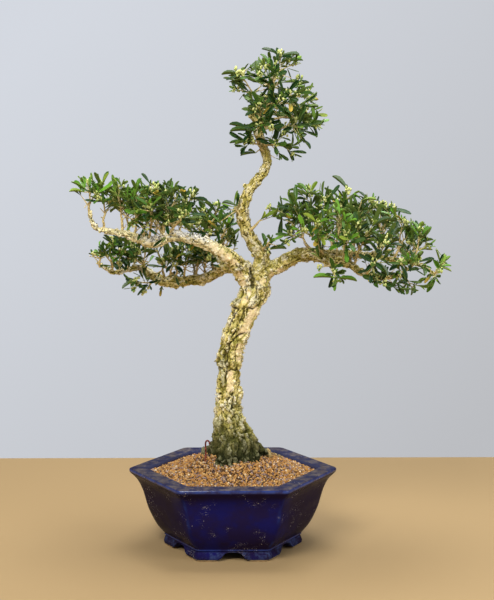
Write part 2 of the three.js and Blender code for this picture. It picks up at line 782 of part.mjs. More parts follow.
function growSpray({ root, fork, twig, shoots }, barkMesh) {
  const [main, ...others] = shoots;
  const skin = new Skin();
  const across = squareTo(twig, main.across);
  const foot = { across, face: new THREE.Vector3().crossVectors(twig, across) };
  const lowerPoints = stemRing(foot, fork.clone().addScaledVector(twig, -FORK_HALF), FORK_RADIUS);
  const start = skin.add(twigRoot(fork, lowerPoints, root, barkMesh));
  const lower = skin.add(lowerPoints);
  skin.closeStart(start);
  skin.bridge(start, lower);
  if (!others.length) {
    growShoot(skin, lower, main);
    return skin.solid();
  }
  const above = fork.clone().addScaledVector(main.direction, FORK_HALF);
  const upper = skin.add(stemRing(main, above, FORK_RADIUS));
  const growths = {};
  for (const shoot of others) {
    growths[shoot.side] = (opening) => {
      const first = skin.add(stemRing(shoot, shoot.start, SHOOT_RADIUS));
      skin.bridge(opening, first);
      growShoot(skin, first, shoot);
    };
  }
  skin.bridge(lower, upper, growths);
  growShoot(skin, upper, main);
  return skin.solid();
}

// Cuts a spray back to the clearance around the wood where it comes closer than half of that
function clearOfWood(spray, bark, closeBark) {
  if (spray.intersect(closeBark).isEmpty()) return spray;
  const pieces = spray.subtract(bark).decompose();
  return pieces.sort((a, b) => b.volume() - a.volume())[0];
}

function sprays(bark) {
  const closeBark = wood(CLEARANCE / 2);
  const barkMesh = meshOf("bark", bark, MATERIALS.bark);
  const plans = Object.keys(SPRAYS).map(planSpray);
  for (const plan of plans) {
    place(stickBetween(plan.shoots[0], plan.root, plan.fork), plan.name);
    for (const shoot of plan.shoots) {
      place(stickBetween(shoot, plan.fork, shoot.tip), shoot.owner);
    }
  }
  const shoots = plans.flatMap((plan) => plan.shoots);
  for (let pair = 0; pair < LEAF_PAIRS; pair++) {
    for (const shoot of shoots) {
      if (shoot.tip.distanceTo(shoot.start) < pair * LEAF_PAIR_SPACING + 3) continue;
      const leaves = {};
      for (const side of pair % 2 ? [0, 2] : [1, 3]) {
        const shape = planLeaf(shoot, pair, side);
        if (shape) leaves[side] = shape;
      }
      shoot.pairs.unshift({ pair, leaves });
    }
  }
  return plans.map((plan) => [plan.name, clearOfWood(growSpray(plan, barkMesh), bark, closeBark)]);
}

const tree = new THREE.Group();
const trunk = wood(0);
const bark = wood(CLEARANCE);
place(bark, "wood");
tree.add(meshOf("pot", pot(), MATERIALS.glaze));
tree.add(meshOf("drain_screen", drainScreen(), MATERIALS.plastic));
tree.add(meshOf("tie_wire", tieWire(0), MATERIALS.copper));
tree.add(meshOf("soil", soil(bark, tieWire(CLEARANCE)), MATERIALS.soil));
tree.add(meshOf("trunk", trunk, MATERIALS.bark));
for (const [name, solid] of sprays(bark)) {
  tree.add(meshOf("spray_" + name, solid, MATERIALS.leaf));
}

// The whole tree's box is centred on the origin, with its underside on the table
const box = new THREE.Box3().setFromObject(tree);
const centre = box.getCenter(new THREE.Vector3());
tree.position.set(-centre.x, -centre.y, -box.min.z);
const part = new THREE.Group();
part.add(tree);

export default part;
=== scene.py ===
# %% [markdown]
# # A boxwood bonsai in a glazed hexagonal pot
#
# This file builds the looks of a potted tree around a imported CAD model. The CAD model gives the place and
# the size of every part. Here each part is made again with the detail that the real one shows: a smooth
# glazed pot, loose grit, corky bark and nearly three thousand leaves.
#
# The tree is modelled in plain millimetres, with the pot's axis at X = Y = 0 and the table at Z = 0. One
# transform at the end of each piece brings it into the frame, which is in metres.
#
# Some of Blender's noise functions start from the time of day. The noise gets a seed of its own here, so
# that every run grows the same bark.

import math

import bmesh
import bpy
import numpy as np
from mathutils import Matrix, Vector, noise
from mathutils.kdtree import KDTree


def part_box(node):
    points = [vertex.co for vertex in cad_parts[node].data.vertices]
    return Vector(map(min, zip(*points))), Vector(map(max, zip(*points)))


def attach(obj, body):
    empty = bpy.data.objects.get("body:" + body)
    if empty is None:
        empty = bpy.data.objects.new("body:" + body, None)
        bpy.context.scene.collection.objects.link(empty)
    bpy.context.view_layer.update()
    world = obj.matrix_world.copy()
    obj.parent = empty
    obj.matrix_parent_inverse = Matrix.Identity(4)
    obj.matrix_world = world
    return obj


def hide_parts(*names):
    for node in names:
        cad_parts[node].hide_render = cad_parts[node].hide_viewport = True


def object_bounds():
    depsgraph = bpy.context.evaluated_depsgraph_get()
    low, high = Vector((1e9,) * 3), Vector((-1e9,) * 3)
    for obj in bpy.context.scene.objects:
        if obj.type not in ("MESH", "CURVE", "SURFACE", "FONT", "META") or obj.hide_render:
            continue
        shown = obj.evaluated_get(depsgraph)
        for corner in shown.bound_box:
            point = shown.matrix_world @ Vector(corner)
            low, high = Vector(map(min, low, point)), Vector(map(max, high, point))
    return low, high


NOISE_SEED = 4
noise.seed_set(NOISE_SEED)
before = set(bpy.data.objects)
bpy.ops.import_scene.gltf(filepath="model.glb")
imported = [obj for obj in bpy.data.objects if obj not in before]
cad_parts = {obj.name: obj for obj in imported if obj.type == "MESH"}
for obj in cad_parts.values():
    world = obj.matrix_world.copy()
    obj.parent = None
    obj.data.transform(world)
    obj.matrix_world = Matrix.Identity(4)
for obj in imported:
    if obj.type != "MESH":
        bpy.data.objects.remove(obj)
cad_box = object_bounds()
scene = bpy.context.scene

pot_low, pot_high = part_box("pot")
pot_axis = Vector(((pot_low[0] + pot_high[0]) / 2, (pot_low[1] + pot_high[1]) / 2, 0))
MM = 0.001
TO_METRES = Matrix.Translation(pot_axis) @ Matrix.Scale(MM, 4)
print("pot axis in metres:", [round(value, 5) for value in pot_axis])

# %% [markdown]
# ## Camera
#
# The camera was worked out from the pot's rim: it stands 1.36 m in front of the pot, at 409 mm above the
# table, and looks 7 degrees down. Blender's lens is given for a 36 mm sensor along the long side of the
# picture, so a focal length in pixels turns into millimetres with one division.

# %% Camera
PICTURE = (494, 600)
FOCAL_PIXELS = 1420
CAMERA_PLACE = Vector((0, -1361.5, 409.3))
CAMERA_DOWN = 7.0
CAMERA_RIGHT = 0.58
SENSOR = 36

camera = bpy.data.objects.new("camera", bpy.data.cameras.new("camera"))
scene.collection.objects.link(camera)
camera.location = TO_METRES @ CAMERA_PLACE
camera.rotation_euler = (math.radians(90 - CAMERA_DOWN), 0, -math.radians(CAMERA_RIGHT))
camera.data.sensor_width = SENSOR
camera.data.lens = SENSOR * FOCAL_PIXELS / max(PICTURE)
scene.camera = camera
print("lens:", round(camera.data.lens, 1), "mm")

# %% [markdown]
# Some shoots stand out from the tree against the backdrop, so their places are read off the photograph. A
# pixel is only a line of sight. It becomes a place once its depth is known, and the depth comes from the
# stem that carries the shoot.

# %% Places and pixels
LOOK = camera.rotation_euler.to_matrix()


def from_picture(across, down, depth):
    """The place in millimetres that the camera sees at a pixel, on the upright plane Y = depth."""
    ray = LOOK @ Vector((across - PICTURE[0] / 2, PICTURE[1] / 2 - down, -FOCAL_PIXELS))
    return CAMERA_PLACE + ray * (depth - CAMERA_PLACE.y) / ray.y


def in_picture(point):
    """The pixel where a place shows."""
    local = (point - CAMERA_PLACE) @ LOOK
    across = PICTURE[0] / 2 - FOCAL_PIXELS * local.x / local.z
    down = PICTURE[1] / 2 + FOCAL_PIXELS * local.y / local.z
    return Vector((across, down))


print("the pot's foot shows at pixel", [round(value) for value in in_picture(Vector((0, 0, 0)))])

# %% [markdown]
# ## Floor, surroundings and light
#
# A plain table top reaches a little way behind the pot and far in front of it, so that the pot has
# something to mirror. A pale grey world stands in for the backdrop, a little darker towards the table. The
# glossy pot mirrors the world too, so the light that the world gives is kept lower than what the camera
# sees of it. Three large area lights do the rest: big lights give soft shadows, as an overcast window does.

# %% Floor
# Millimetres from the pot's axis: the edge behind the pot, the edge in front, and the half width
FLOOR_BACK = 365
FLOOR_FRONT = -1700
FLOOR_SIDE = 1400

bm = bmesh.new()
bmesh.ops.create_grid(bm, x_segments=1, y_segments=1, size=1)
bmesh.ops.scale(bm, vec=(FLOOR_SIDE, (FLOOR_BACK - FLOOR_FRONT) / 2, 1), verts=bm.verts)
bmesh.ops.translate(bm, vec=(0, (FLOOR_BACK + FLOOR_FRONT) / 2, 0), verts=bm.verts)
bmesh.ops.transform(bm, matrix=TO_METRES, verts=bm.verts)
floor_mesh = bpy.data.meshes.new("floor")
bm.to_mesh(floor_mesh)
bm.free()
floor = bpy.data.objects.new("floor", floor_mesh)
scene.collection.objects.link(floor)

# %% Surroundings
# Place on the colour ramp, and colour
BACKDROP_LOW = (0.36, (0.5, 0.51, 0.535, 1))
BACKDROP_HIGH = (0.56, (0.66, 0.69, 0.75, 1))
WORLD_LIGHT = (0.66, 0.66, 0.68, 1)
WORLD_STRENGTH = 0.42

scene.view_settings.view_transform = "Standard"

world = bpy.data.worlds.new("studio")
world.use_nodes = True
scene.world = world
sky = world.node_tree
backdrop = sky.nodes.new("ShaderNodeValToRGB")
for stop, (position, tone) in zip(backdrop.color_ramp.elements, (BACKDROP_LOW, BACKDROP_HIGH)):
    stop.position = position
    stop.color = tone
direction = sky.nodes.new("ShaderNodeTexCoord")
height = sky.nodes.new("ShaderNodeMapping")
height.inputs["Rotation"].default_value = (0, math.radians(90), 0)
height.inputs["Location"].default_value = (0.5, 0, 0)
sky.links.new(direction.outputs["Generated"], height.inputs["Vector"])
sky.links.new(height.outputs[0], backdrop.inputs[0])
seen = sky.nodes.new("ShaderNodeBackground")
sky.links.new(backdrop.outputs[0], seen.inputs["Color"])
glow = sky.nodes["Background"]
glow.inputs["Color"].default_value = WORLD_LIGHT
glow.inputs["Strength"].default_value = WORLD_STRENGTH
ray = sky.nodes.new("ShaderNodeLightPath")
either = sky.nodes.new("ShaderNodeMixShader")
sky.links.new(ray.outputs["Is Camera Ray"], either.inputs[0])
sky.links.new(glow.outputs[0], either.inputs[1])
sky.links.new(seen.outputs[0], either.inputs[2])
sky.links.new(either.outputs[0], sky.nodes["World Output"].inputs[0])

# %% Lights
# Place in metres, side of the square in metres, power in watts, and colour
LIGHTS = {
    "key": ((-0.55, -1.35, 1.45), 0.8, 33, (1.0, 0.97, 0.91)),
    "fill": ((1.25, -1.0, 0.9), 1.1, 13, (0.96, 0.98, 1.0)),
    "top": ((0.1, 0.25, 1.7), 0.9, 24, (1.0, 0.99, 0.96)),
}
LIGHTS_AIM = Vector((0, 0, 0.22))

for name, (place, side, power, colour) in LIGHTS.items():
    lamp = bpy.data.lights.new(name, "AREA")
    lamp.size = side
    lamp.energy = power
    lamp.color = colour
    holder = bpy.data.objects.new(name, lamp)
    scene.collection.objects.link(holder)
    holder.location = place
    aim = LIGHTS_AIM - Vector(place)
    holder.rotation_euler = aim.to_track_quat("-Z", "Y").to_euler()
print("lights:", ", ".join(LIGHTS))

# %% [markdown]
# ## A small language for materials
#
# Every finish here is worked out by a material's nodes and not painted as an image, so it stays sharp close
# up. A long row of Math nodes is hard to follow, and arithmetic is easy to read. `Value` holds one socket
# of a material, and each Python sign adds the Math node that does that sum. `Paint` holds the material. Its
# method `node` adds any other node from its type, its settings and what goes into its sockets, and the
# methods below it are short forms.

# %% Values
class Value:
    """One output of a node, which Python's arithmetic signs can work with."""

    def __init__(self, paint, socket):
        self.paint = paint
        self.socket = socket

    def __add__(self, other):
        return self.paint.math("ADD", self, other)

    def __radd__(self, other):
        return self.paint.math("ADD", other, self)

    def __sub__(self, other):
        return self.paint.math("SUBTRACT", self, other)

    def __rsub__(self, other):
        return self.paint.math("SUBTRACT", other, self)

    def __mul__(self, other):
        return self.paint.math("MULTIPLY", self, other)

    def __rmul__(self, other):
        return self.paint.math("MULTIPLY", other, self)

    def __truediv__(self, other):
        return self.paint.math("DIVIDE", self, other)

    def __abs__(self):
        return self.paint.math("ABSOLUTE", self)

    def rise(self, low, high):
        """From 0 at low smoothly to 1 at high."""
        values = {"Value": self, "From Min": low, "From Max": high}
        return self.paint.node("MapRange", {"interpolation_type": "SMOOTHSTEP"}, values)

    def parts(self):
        """The three numbers of a vector or colour."""
        split = self.paint.node("SeparateXYZ", None, {"Vector": self})
        return [Value(self.paint, out) for out in split.socket.node.outputs]


# %% Paint
class Paint:
    """A material that grows node by node."""

    def __init__(self, name, **constants):
        self.material = bpy.data.materials.new(name)
        self.material.use_nodes = True
        self.tree = self.material.node_tree
        self.shader = self.tree.nodes["Principled BSDF"]
        self.set(**constants)

    def feed(self, socket, value):
        """Links a value to a socket, or sets the socket to a plain number, colour or vector."""
        if isinstance(value, Value):
            self.tree.links.new(value.socket, socket)
        elif socket.type == "RGBA":
            socket.default_value = (*value[:3], 1)
        else:
            socket.default_value = value

    def node(self, kind, settings=None, values=None, out=0):
        """Adds a node of a kind, and gives one of its outputs."""
        made = self.tree.nodes.new("ShaderNode" + kind)
        for key, value in (settings or {}).items():
            setattr(made, key, value)
        for key, value in (values or {}).items():
            self.feed(made.inputs[key], value)
        return Value(self, made.outputs[out])

    def math(self, operation, *values):
        return self.node("Math", {"operation": operation}, dict(enumerate(values)))

    def most(self, *values):
        """The greatest of several values."""
        best = values[0]
        for value in values[1:]:
            best = self.math("MAXIMUM", best, value)
        return best

    def mix(self, share, first, second):
        """One colour turning into another as the share goes from 0 to 1."""
        return self.node("Mix", {"data_type": "RGBA"}, {0: share, 6: first, 7: second}, out=2)

    def attribute(self, name, out="Vector"):
        """What a mesh stores at its points under a name."""
        return self.node("Attribute", {"attribute_name": name}, out=out)

    def millimetres(self):
        """The place on the object in the pot's own millimetres."""
        where = self.node("TexCoord", out="Object")
        shift = [-value / MM for value in pot_axis]
        return self.stretched(where, (1 / MM,) * 3, shift)

    def stretched(self, where, scale, shift=(0, 0, 0)):
        """A place scaled along X, Y and Z, which stretches what is laid on it."""
        return self.node("Mapping", None, {"Vector": where, "Location": shift, "Scale": scale})

    def noise(self, where, size, detail=2.0, roughness=0.5):
        """Cloudy noise from 0 to 1 with features of about the given size in millimetres."""
        values = {"Vector": where, "Scale": 1 / size, "Detail": detail, "Roughness": roughness}
        return self.node("TexNoise", None, values)

    def cells(self, where, size):
        """Distance from the middles of scattered cells of the given size."""
        return self.node("TexVoronoi", None, {"Vector": where, "Scale": 1 / size})

    def bump(self, height, depth):
        """Relief whose full height is the given depth in metres."""
        return self.node("Bump", None, {"Height": height, "Strength": 1.0, "Distance": depth})

    def set(self, **inputs):
        """Sets the shader's sockets: base_color becomes Base Color, and so on."""
        for key, value in inputs.items():
            socket = key.replace("_", " ").title().replace("Ior", "IOR")
            self.feed(self.shader.inputs[socket], value)


# %% [markdown]
# A colour that is read off a screen can't go into a material as it is. Screens space their steps evenly for
# the eye, and a renderer adds up light, so `seen_as` turns the one into the other. The table top is the
# first to use it.

# %% Floor material
def seen_as(red, green, blue):
    """A colour as read off a screen, 0 to 255, turned into light."""

    def light(value):
        share = value / 255
        return share / 12.92 if share <= 0.04045 else ((share + 0.055) / 1.055) ** 2.4

    return (light(red), light(green), light(blue))


TABLE_TOP = seen_as(164, 138, 97)

table_top = Paint("pale_table", roughness=0.75, base_color=TABLE_TOP)
floor.data.materials.append(table_top.material)
print("table top as light:", [round(value, 3) for value in TABLE_TOP])

# %% [markdown]
# ## Helpers for pieces
#
# A piece is built in a bmesh, in millimetres. `carried` makes a mesh from an object with its modifiers
# worked out. `chance` stands in for a random number: it depends only on its counters, so no draw can change
# another one.

# %% Helpers
FULL_TURN = 6.283


def linked(name, mesh):
    thing = bpy.data.objects.new(name, mesh)
    scene.collection.objects.link(thing)
    return thing


def mesh_from(bm, name):
    """The bmesh as a mesh. The bmesh is thrown away."""
    mesh = bpy.data.meshes.new(name)
    bm.to_mesh(mesh)
    bm.free()
    return mesh


def pour(bm, mesh):
    """Adds a mesh to a bmesh and throws the mesh away."""
    bm.from_mesh(mesh)
    bpy.data.meshes.remove(mesh)


def carried(mesh, *modifiers):
    """The mesh after the modifiers, each given as its type and its settings."""
    thing = linked("work", mesh)
    for kind, settings in modifiers:
        modifier = thing.modifiers.new(kind.lower(), kind)
        for key, value in settings.items():
            setattr(modifier, key, value)
    ready = thing.evaluated_get(bpy.context.evaluated_depsgraph_get())
    result = bpy.data.meshes.new_from_object(ready)
    bpy.data.objects.remove(thing)
    return result


def finish(mesh, name, paints, nodes, sharp=None):
    """Makes a piece of a mesh that is in millimetres."""
    mesh.transform(TO_METRES)
    for paint in paints:
        mesh.materials.append(paint.material)
    mesh.shade_smooth()
    if sharp is not None:
        mesh.set_sharp_from_angle(angle=math.radians(sharp))
    mesh.name = name
    piece = linked(name, mesh)
    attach(piece, "root")
    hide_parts(*nodes)
    mesh.calc_loop_triangles()
    print(name + ":", len(mesh.loop_triangles), "triangles")


def chance(i, j, k):
    """A repeatable random number from 0 to 1 for three counters."""
    wave = math.sin(i * 12.9898 + j * 78.233 + k * 37.719) * 43758.5453
    return wave - math.floor(wave)


def smoothstep(low, high, value):
    """From 0 at low smoothly to 1 at high."""
    share = min(max((value - low) / (high - low), 0), 1)
    return share * share * (3 - 2 * share)


def between(limits, share):
    return limits[0] + (limits[1] - limits[0]) * share


# %% [markdown]
# ## Smooth curves through a row of points
#
# The pot's wall, the limbs and the wire are all given as a few points. A Catmull-Rom curve passes through
# each of them, and leaves each one in the direction from its neighbour before to its neighbour after.

# %% Curve through points
def along_curve(points, place):
    """Point and direction on the curve, where place runs from 0 to the number of spans."""
    spans = len(points) - 1
    k = min(int(place), spans - 1)
    t = place - k
    first, last = points[k], points[k + 1]
    before = points[k - 1] if k > 0 else 2 * first - last
    after = points[k + 2] if k + 2 <= spans else 2 * last - first
    leave, arrive = (last - before) / 2, (after - first) / 2
    square = 3 * (last - first) - 2 * leave - arrive
    cube = 2 * (first - last) + leave + arrive
    point = first + leave * t + square * t**2 + cube * t**3
    return point, (leave + 2 * square * t + 3 * cube * t**2).normalized()


def stations_along(points, steps):
    """Points and directions with the given number of steps in each span."""
    rows = [Vector(point) for point in points]
    count = (len(rows) - 1) * steps
    return [along_curve(rows, i / steps) for i in range(count + 1)]


def smooth_outline(pairs, steps):
    """A flat outline of pairs, made smooth."""
    return [(point.x, point.y) for point, _ in stations_along([(a, b, 0) for a, b in pairs], steps)]


# %% [markdown]
# ## The pot
#
# The real pot is slip-cast stoneware: six flared walls, a broad flat lip, and six low feet with a
# cloud-shaped gap between each two. A hexagonal pot is a lathe with only six steps, so its outline is drawn
# once, at a corner, and spun. Extra cuts keep the long walls flat when they are shaded, and bevels round
# the six upright corners.

# %% Pot outline
POT_FLOOR_TOP = 17
POT_FLOOR_UNDERSIDE = 9.6
FOOT_RING_INSIDE = 60
POT_CORNER_BEVEL = 3
OUTLINE_STEPS = 4
# Distance of the corner from the axis, and height
FOOT_OUTLINE = [
    (66.2, 0.0), (67.6, 0.7), (68.7, 2.2), (69.0, 4.0), (68.2, 6.8), (67.1, 9.3), (67.5, 10.2),
    (68.6, 10.7),
]
WALL_OUTLINE = [(68.2, 11.6), (76.6, 21.8), (84.4, 37.7), (89.5, 55.4), (94.4, 65.2), (99.8, 70.8)]
LIP_OUTLINE = [
    (101.0, 71.9), (102.1, 73.2), (102.5, 74.6), (102.3, 75.8), (101.5, 76.6), (100.2, 77.0), (98.4, 77.0),
]
INSIDE_OUTLINE = [
    (86.4, 77.0), (85.2, 76.8), (84.3, 76.2), (83.8, 74.5), (84.0, 64.0), (78.0, 38.0), (70.0, 22.0),
    (65.0, POT_FLOOR_TOP),
]

pot_outline = [
    (0, POT_FLOOR_UNDERSIDE),
    (FOOT_RING_INSIDE, POT_FLOOR_UNDERSIDE),
    (FOOT_RING_INSIDE, 0),
    *FOOT_OUTLINE,
    *smooth_outline(WALL_OUTLINE, OUTLINE_STEPS),
    *LIP_OUTLINE,
    *INSIDE_OUTLINE,
    (0, POT_FLOOR_TOP),
]
print("pot outline:", len(pot_outline), "points")

# %% Pot body
WALL_CUTS = 7
LONG_EDGE = 40


def upright(edge):
    """An edge of the outline itself, out at the pot's foot, wall or lip."""
    a, b = edge.verts
    turned = math.atan2(a.co.y, a.co.x) - math.atan2(b.co.y, b.co.x)
    far = min(a.co.xy.length, b.co.xy.length) > FOOT_RING_INSIDE + 1
    return far and abs(math.sin(turned)) < 1e-4


def long_and_level(edge):
    """An edge along one of the six sides, on the flat wall and not in a corner's round."""
    a, b = edge.verts
    return edge.calc_length() > LONG_EDGE and abs(a.co.z - b.co.z) < 1e-3


bm = bmesh.new()
outline = [bm.verts.new((r, 0, z)) for r, z in pot_outline]
edges = [bm.edges.new(pair) for pair in zip(outline, outline[1:])]
bmesh.ops.spin(
    bm,
    geom=outline + edges,
    cent=(0, 0, 0),
    axis=(0, 0, 1),
    angle=2 * math.pi,
    steps=6,
    use_merge=True,
)
bmesh.ops.remove_doubles(bm, verts=bm.verts, dist=1e-3)
bmesh.ops.recalc_face_normals(bm, faces=bm.faces)
bmesh.ops.bevel(
    bm,
    geom=[edge for edge in bm.edges if upright(edge)],
    offset=POT_CORNER_BEVEL,
    offset_type="OFFSET",
    affect="EDGES",
    segments=4,
    profile=0.5,
    material=-1,
)
level = [edge for edge in bm.edges if long_and_level(edge)]
bmesh.ops.subdivide_edges(bm, edges=level, cuts=WALL_CUTS, use_grid_fill=True)
pot_body = bm

# %% [markdown]
# The gaps between the feet and the drain hole are cut with a boolean. Its cutters are flat outlines pushed
# out into blocks: one cloud-shaped block for each side, and one round bar for the hole. A boolean can cut
# the same shapes into other triangles when their points have other numbers or differ in the last digit. So
# the points of the body and of the cutters are rounded, and numbered by where they are, before the cut.

# %% Foot gaps and drain hole
ARCH_HALF_OUTLINE = [(22.5, 0.2), (17, 0.8), (12.4, 2.6), (9.6, 5.6), (6.4, 8.2), (0, 8.8)]
ARCH_REACH = (46, 75)
DRAIN_RADIUS = 11
DRAIN_BAR = 30


def put_in_order(bm):
    """Rounds the points to a micrometre, and numbers points, edges and faces by where they are."""

    def rank(place):
        return round(place.x, 2) + 1e4 * round(place.y, 2) + 1e8 * round(place.z, 2)

    for vert in bm.verts:
        vert.co = [round(value, 3) for value in vert.co]
    bm.verts.sort(key=lambda vert: rank(vert.co))
    bm.edges.sort(key=lambda edge: rank(edge.verts[0].co + edge.verts[1].co))
    bm.faces.sort(key=lambda face: rank(face.calc_center_median()))


put_in_order(pot_body)
pot_mesh = mesh_from(pot_body, "pot_body")
half = [(ARCH_HALF_OUTLINE[0][0], -2)] + smooth_outline(ARCH_HALF_OUTLINE, OUTLINE_STEPS)
whole = half + [(-x, z) for x, z in reversed(half[:-1])]
bm = bmesh.new()
for side in range(6):
    ring = [bm.verts.new((x, -ARCH_REACH[0], z)) for x, z in whole]
    face = bm.faces.new(ring)
    pushed = bmesh.ops.extrude_face_region(bm, geom=[face])["geom"]
    moved = [item for item in pushed if isinstance(item, bmesh.types.BMVert)]
    bmesh.ops.translate(bm, vec=(0, ARCH_REACH[0] - ARCH_REACH[1], 0), verts=moved)
    turn = Matrix.Rotation(side * math.pi / 3, 3, "Z")
    bmesh.ops.rotate(bm, cent=(0, 0, 0), matrix=turn, verts=ring + moved)
bmesh.ops.create_cone(
    bm,
    cap_ends=True,
    segments=40,
    radius1=DRAIN_RADIUS,
    radius2=DRAIN_RADIUS,
    depth=DRAIN_BAR,
    matrix=Matrix.Translation((0, 0, POT_FLOOR_TOP)),
)
bmesh.ops.recalc_face_normals(bm, faces=bm.faces)
put_in_order(bm)
cutter = linked("cutter", mesh_from(bm, "cutter"))
pot_mesh = carried(
    pot_mesh,
    ("BOOLEAN", {"operation": "DIFFERENCE", "solver": "EXACT", "object": cutter}),
    ("BEVEL", {"limit_method": "ANGLE", "angle_limit": math.radians(50), "width": 0.5, "segments": 2}),
)
bpy.data.objects.remove(cutter)
print("pot with its gaps:", len(pot_mesh.polygons), "faces")

# %% [markdown]
# No hand-finished wall is dead flat. A push of a few tenths of a millimetre along slow noise gives the
# glaze the gentle swell that real reflections show.

# %% Slow swell of the wall
SWELL = 0.4
SWELL_SIZE = 24
SWELL_ABOVE = 12

for vert in pot_mesh.vertices:
    if vert.co.z > SWELL_ABOVE and vert.co.xy.length > FOOT_RING_INSIDE:
        depth = SWELL * abs(noise.noise(vert.co / SWELL_SIZE))
        vert.co -= Vector((vert.co.x, vert.co.y, 0)).normalized() * depth

# %% [markdown]
# ### Glaze
#
# The glaze is deep cobalt. It is dull on the walls, and a clear coat gives its lip and moulding their
# glints. It runs thin and pale over the corners and the moulding above the feet. The lip's outer face gets
# the same pale blue, partly thin glaze and partly a painted highlight. The glaze turns to a brown violet on
# the side faces as a painted reflection, in a band under the lip as the lip's painted shadow, and low on
# the wall. Years of watering left chalky specks, scuffs and dust. All of that is worked out from the place
# on the pot, in millimetres: the distance from the nearest corner, the height, and noise.

# %% Glaze: places
SIXTH_TURN = math.pi / 3

glaze = Paint("cobalt_glaze", ior=1.06, coat_roughness=0.14)
where = glaze.millimetres()
x, y, z = where.parts()
turned = glaze.math("ARCTAN2", y, x) / SIXTH_TURN
sector = (glaze.math("FRACT", turned) - 0.5) * SIXTH_TURN
reach = glaze.math("SQRT", x * x + y * y)
flat = reach * glaze.math("COSINE", sector)
corner_distance = flat * math.tan(math.pi / 6) - abs(reach * glaze.math("SINE", sector))
facing = glaze.node("NewGeometry", out="Normal").parts()[2]
slow = glaze.noise(where, 30, 3)
cloud = glaze.noise(where, 9, 4, 0.6)
fine = glaze.noise(where, 1.6, 3, 0.6)
streaks = glaze.noise(glaze.stretched(where, (1, 1, 0.25)), 6, 3)
print("glaze, places:", len(glaze.tree.nodes), "nodes")

# %% Glaze: colours
COBALT = seen_as(25, 24, 84)
INDIGO = seen_as(31, 24, 62)
VIOLET = seen_as(30, 20, 36)
THIN_GLAZE_AND_HIGHLIGHT = seen_as(42, 66, 138)

colour = glaze.mix((slow + 0.5 * cloud).rise(0.62, 0.9), COBALT, INDIGO)
towards_side = abs(x).rise(38, 66)
low_on_wall = (1 - z.rise(12, 40)) * slow.rise(0.25, 0.6)
# Violet: a painted reflection on the side faces, the lip's painted shadow in a band under it, and more
# violet low on the wall.
violet_and_painted_shade = glaze.most(towards_side * 0.85, z.rise(60, 70) * 0.7, low_on_wall * 0.8)
colour = glaze.mix(violet_and_painted_shade, colour, VIOLET)
on_wall = z.rise(11.5, 16) * (1 - z.rise(62, 70))
thin_corner = (1 - corner_distance.rise(0.4, 3.4)) * on_wall * streaks.rise(0.35, 0.75) * 0.5
moulding = (1 - abs(z - 11.0).rise(0.3, 1.7)) * 0.5
# The lip's outer face gets pale blue: partly thin glaze, partly a painted highlight.
lip = z.rise(72.6, 74.4) * (1 - facing.rise(0.35, 0.9))
pale = glaze.most(thin_corner, moulding, lip * 0.85)
colour = glaze.mix(pale * cloud.rise(0.2, 0.7), colour, THIN_GLAZE_AND_HIGHLIGHT)

# %% [markdown]
# Wear comes last, because it lies on top: dust on the lip and the inside, chalky specks and scratches in
# clusters, a sea-green bloom on the feet, and bare clay under them where the pot stood in the kiln.

# %% Glaze: wear
SEA = seen_as(58, 70, 110)
DUST = seen_as(98, 91, 92)
DUST_BLUE = seen_as(50, 54, 82)
CHALK = seen_as(196, 188, 182)
CLAY = seen_as(204, 184, 146)

dust = glaze.mix(cloud.rise(0.4, 0.62), DUST_BLUE, DUST)
dusty = facing.rise(0.5, 0.95) * z.rise(71, 75) * (0.45 + 0.5 * streaks.rise(0.3, 0.6))
colour = glaze.mix(dusty, colour, dust)
inner_wall = (1 - flat.rise(73.6, 74.8)) * z.rise(64, 70)
colour = glaze.mix(inner_wall * 0.8, colour, DUST_BLUE)
specks = 1 - glaze.cells(where, 3.1).rise(0.06, 0.17)
clusters = glaze.noise(where, 17, 2).rise(0.54, 0.64)
scratch_lines = glaze.noise(glaze.stretched(where, (0.7, 0.7, 1.6)), 7, 2) - 0.5
scratches = 1 - abs(scratch_lines).rise(0.002, 0.006)
smear_noise = glaze.noise(glaze.stretched(where, (1, 1, 2)), 8, 4, 0.7)
smears = smear_noise.rise(0.6, 0.75) * clusters * 0.2
foot_bloom = (1 - z.rise(8, 11)) * (cloud + 0.5 * fine).rise(0.66, 0.96) * 0.75
colour = glaze.mix(foot_bloom, colour, SEA)
worn = glaze.most(specks * clusters * 0.75, scratches * clusters * 0.25, smears)
colour = glaze.mix(worn, colour, CHALK)
bare_foot = 1 - (z + fine * 0.8).rise(1.5, 2.1)
colour = glaze.mix(bare_foot, colour, CLAY)

rough = 0.16 + 0.42 * dusty + 0.35 * worn + 0.6 * bare_foot + 0.08 * cloud + 0.05 * towards_side
skin = glaze.bump(fine * 0.15 + cloud, 0.00012)
coat = glaze.most(lip, moulding, 0.03 * on_wall) * 0.8
glaze.set(base_color=colour, roughness=rough, normal=skin, coat_weight=coat)
finish(pot_mesh, "glazed_pot", [glaze], ["pot"], sharp=38)

# %% [markdown]
# ## Stems and limbs
#
# Limbs, roots, twigs and the wire are all swept: a disc is extruded from place to place along the curve,
# and each new end is turned and scaled to fit. Blender's curve objects could give such tubes too. A sweep
# of one's own keeps each ring's turn, which the root crown's lobes and the bark pattern need. The turning
# frame is carried along without twist, so a ring's first corner always lies on the same side.

# %% Sweep
def square_to(direction, vector):
    """The part of a vector that is square to a direction, of length 1."""
    return (vector - direction * vector.dot(direction)).normalized()


def carried_frames(stations, sideways):
    """A matrix for each station whose Z axis is its direction, and whose X axis never twists."""
    frames = []
    for point, direction in stations:
        sideways = square_to(direction, sideways)
        other = direction.cross(sideways)
        turn = Matrix((sideways, other, direction)).transposed().to_4x4()
        frames.append(Matrix.Translation(point) @ turn)
    return frames


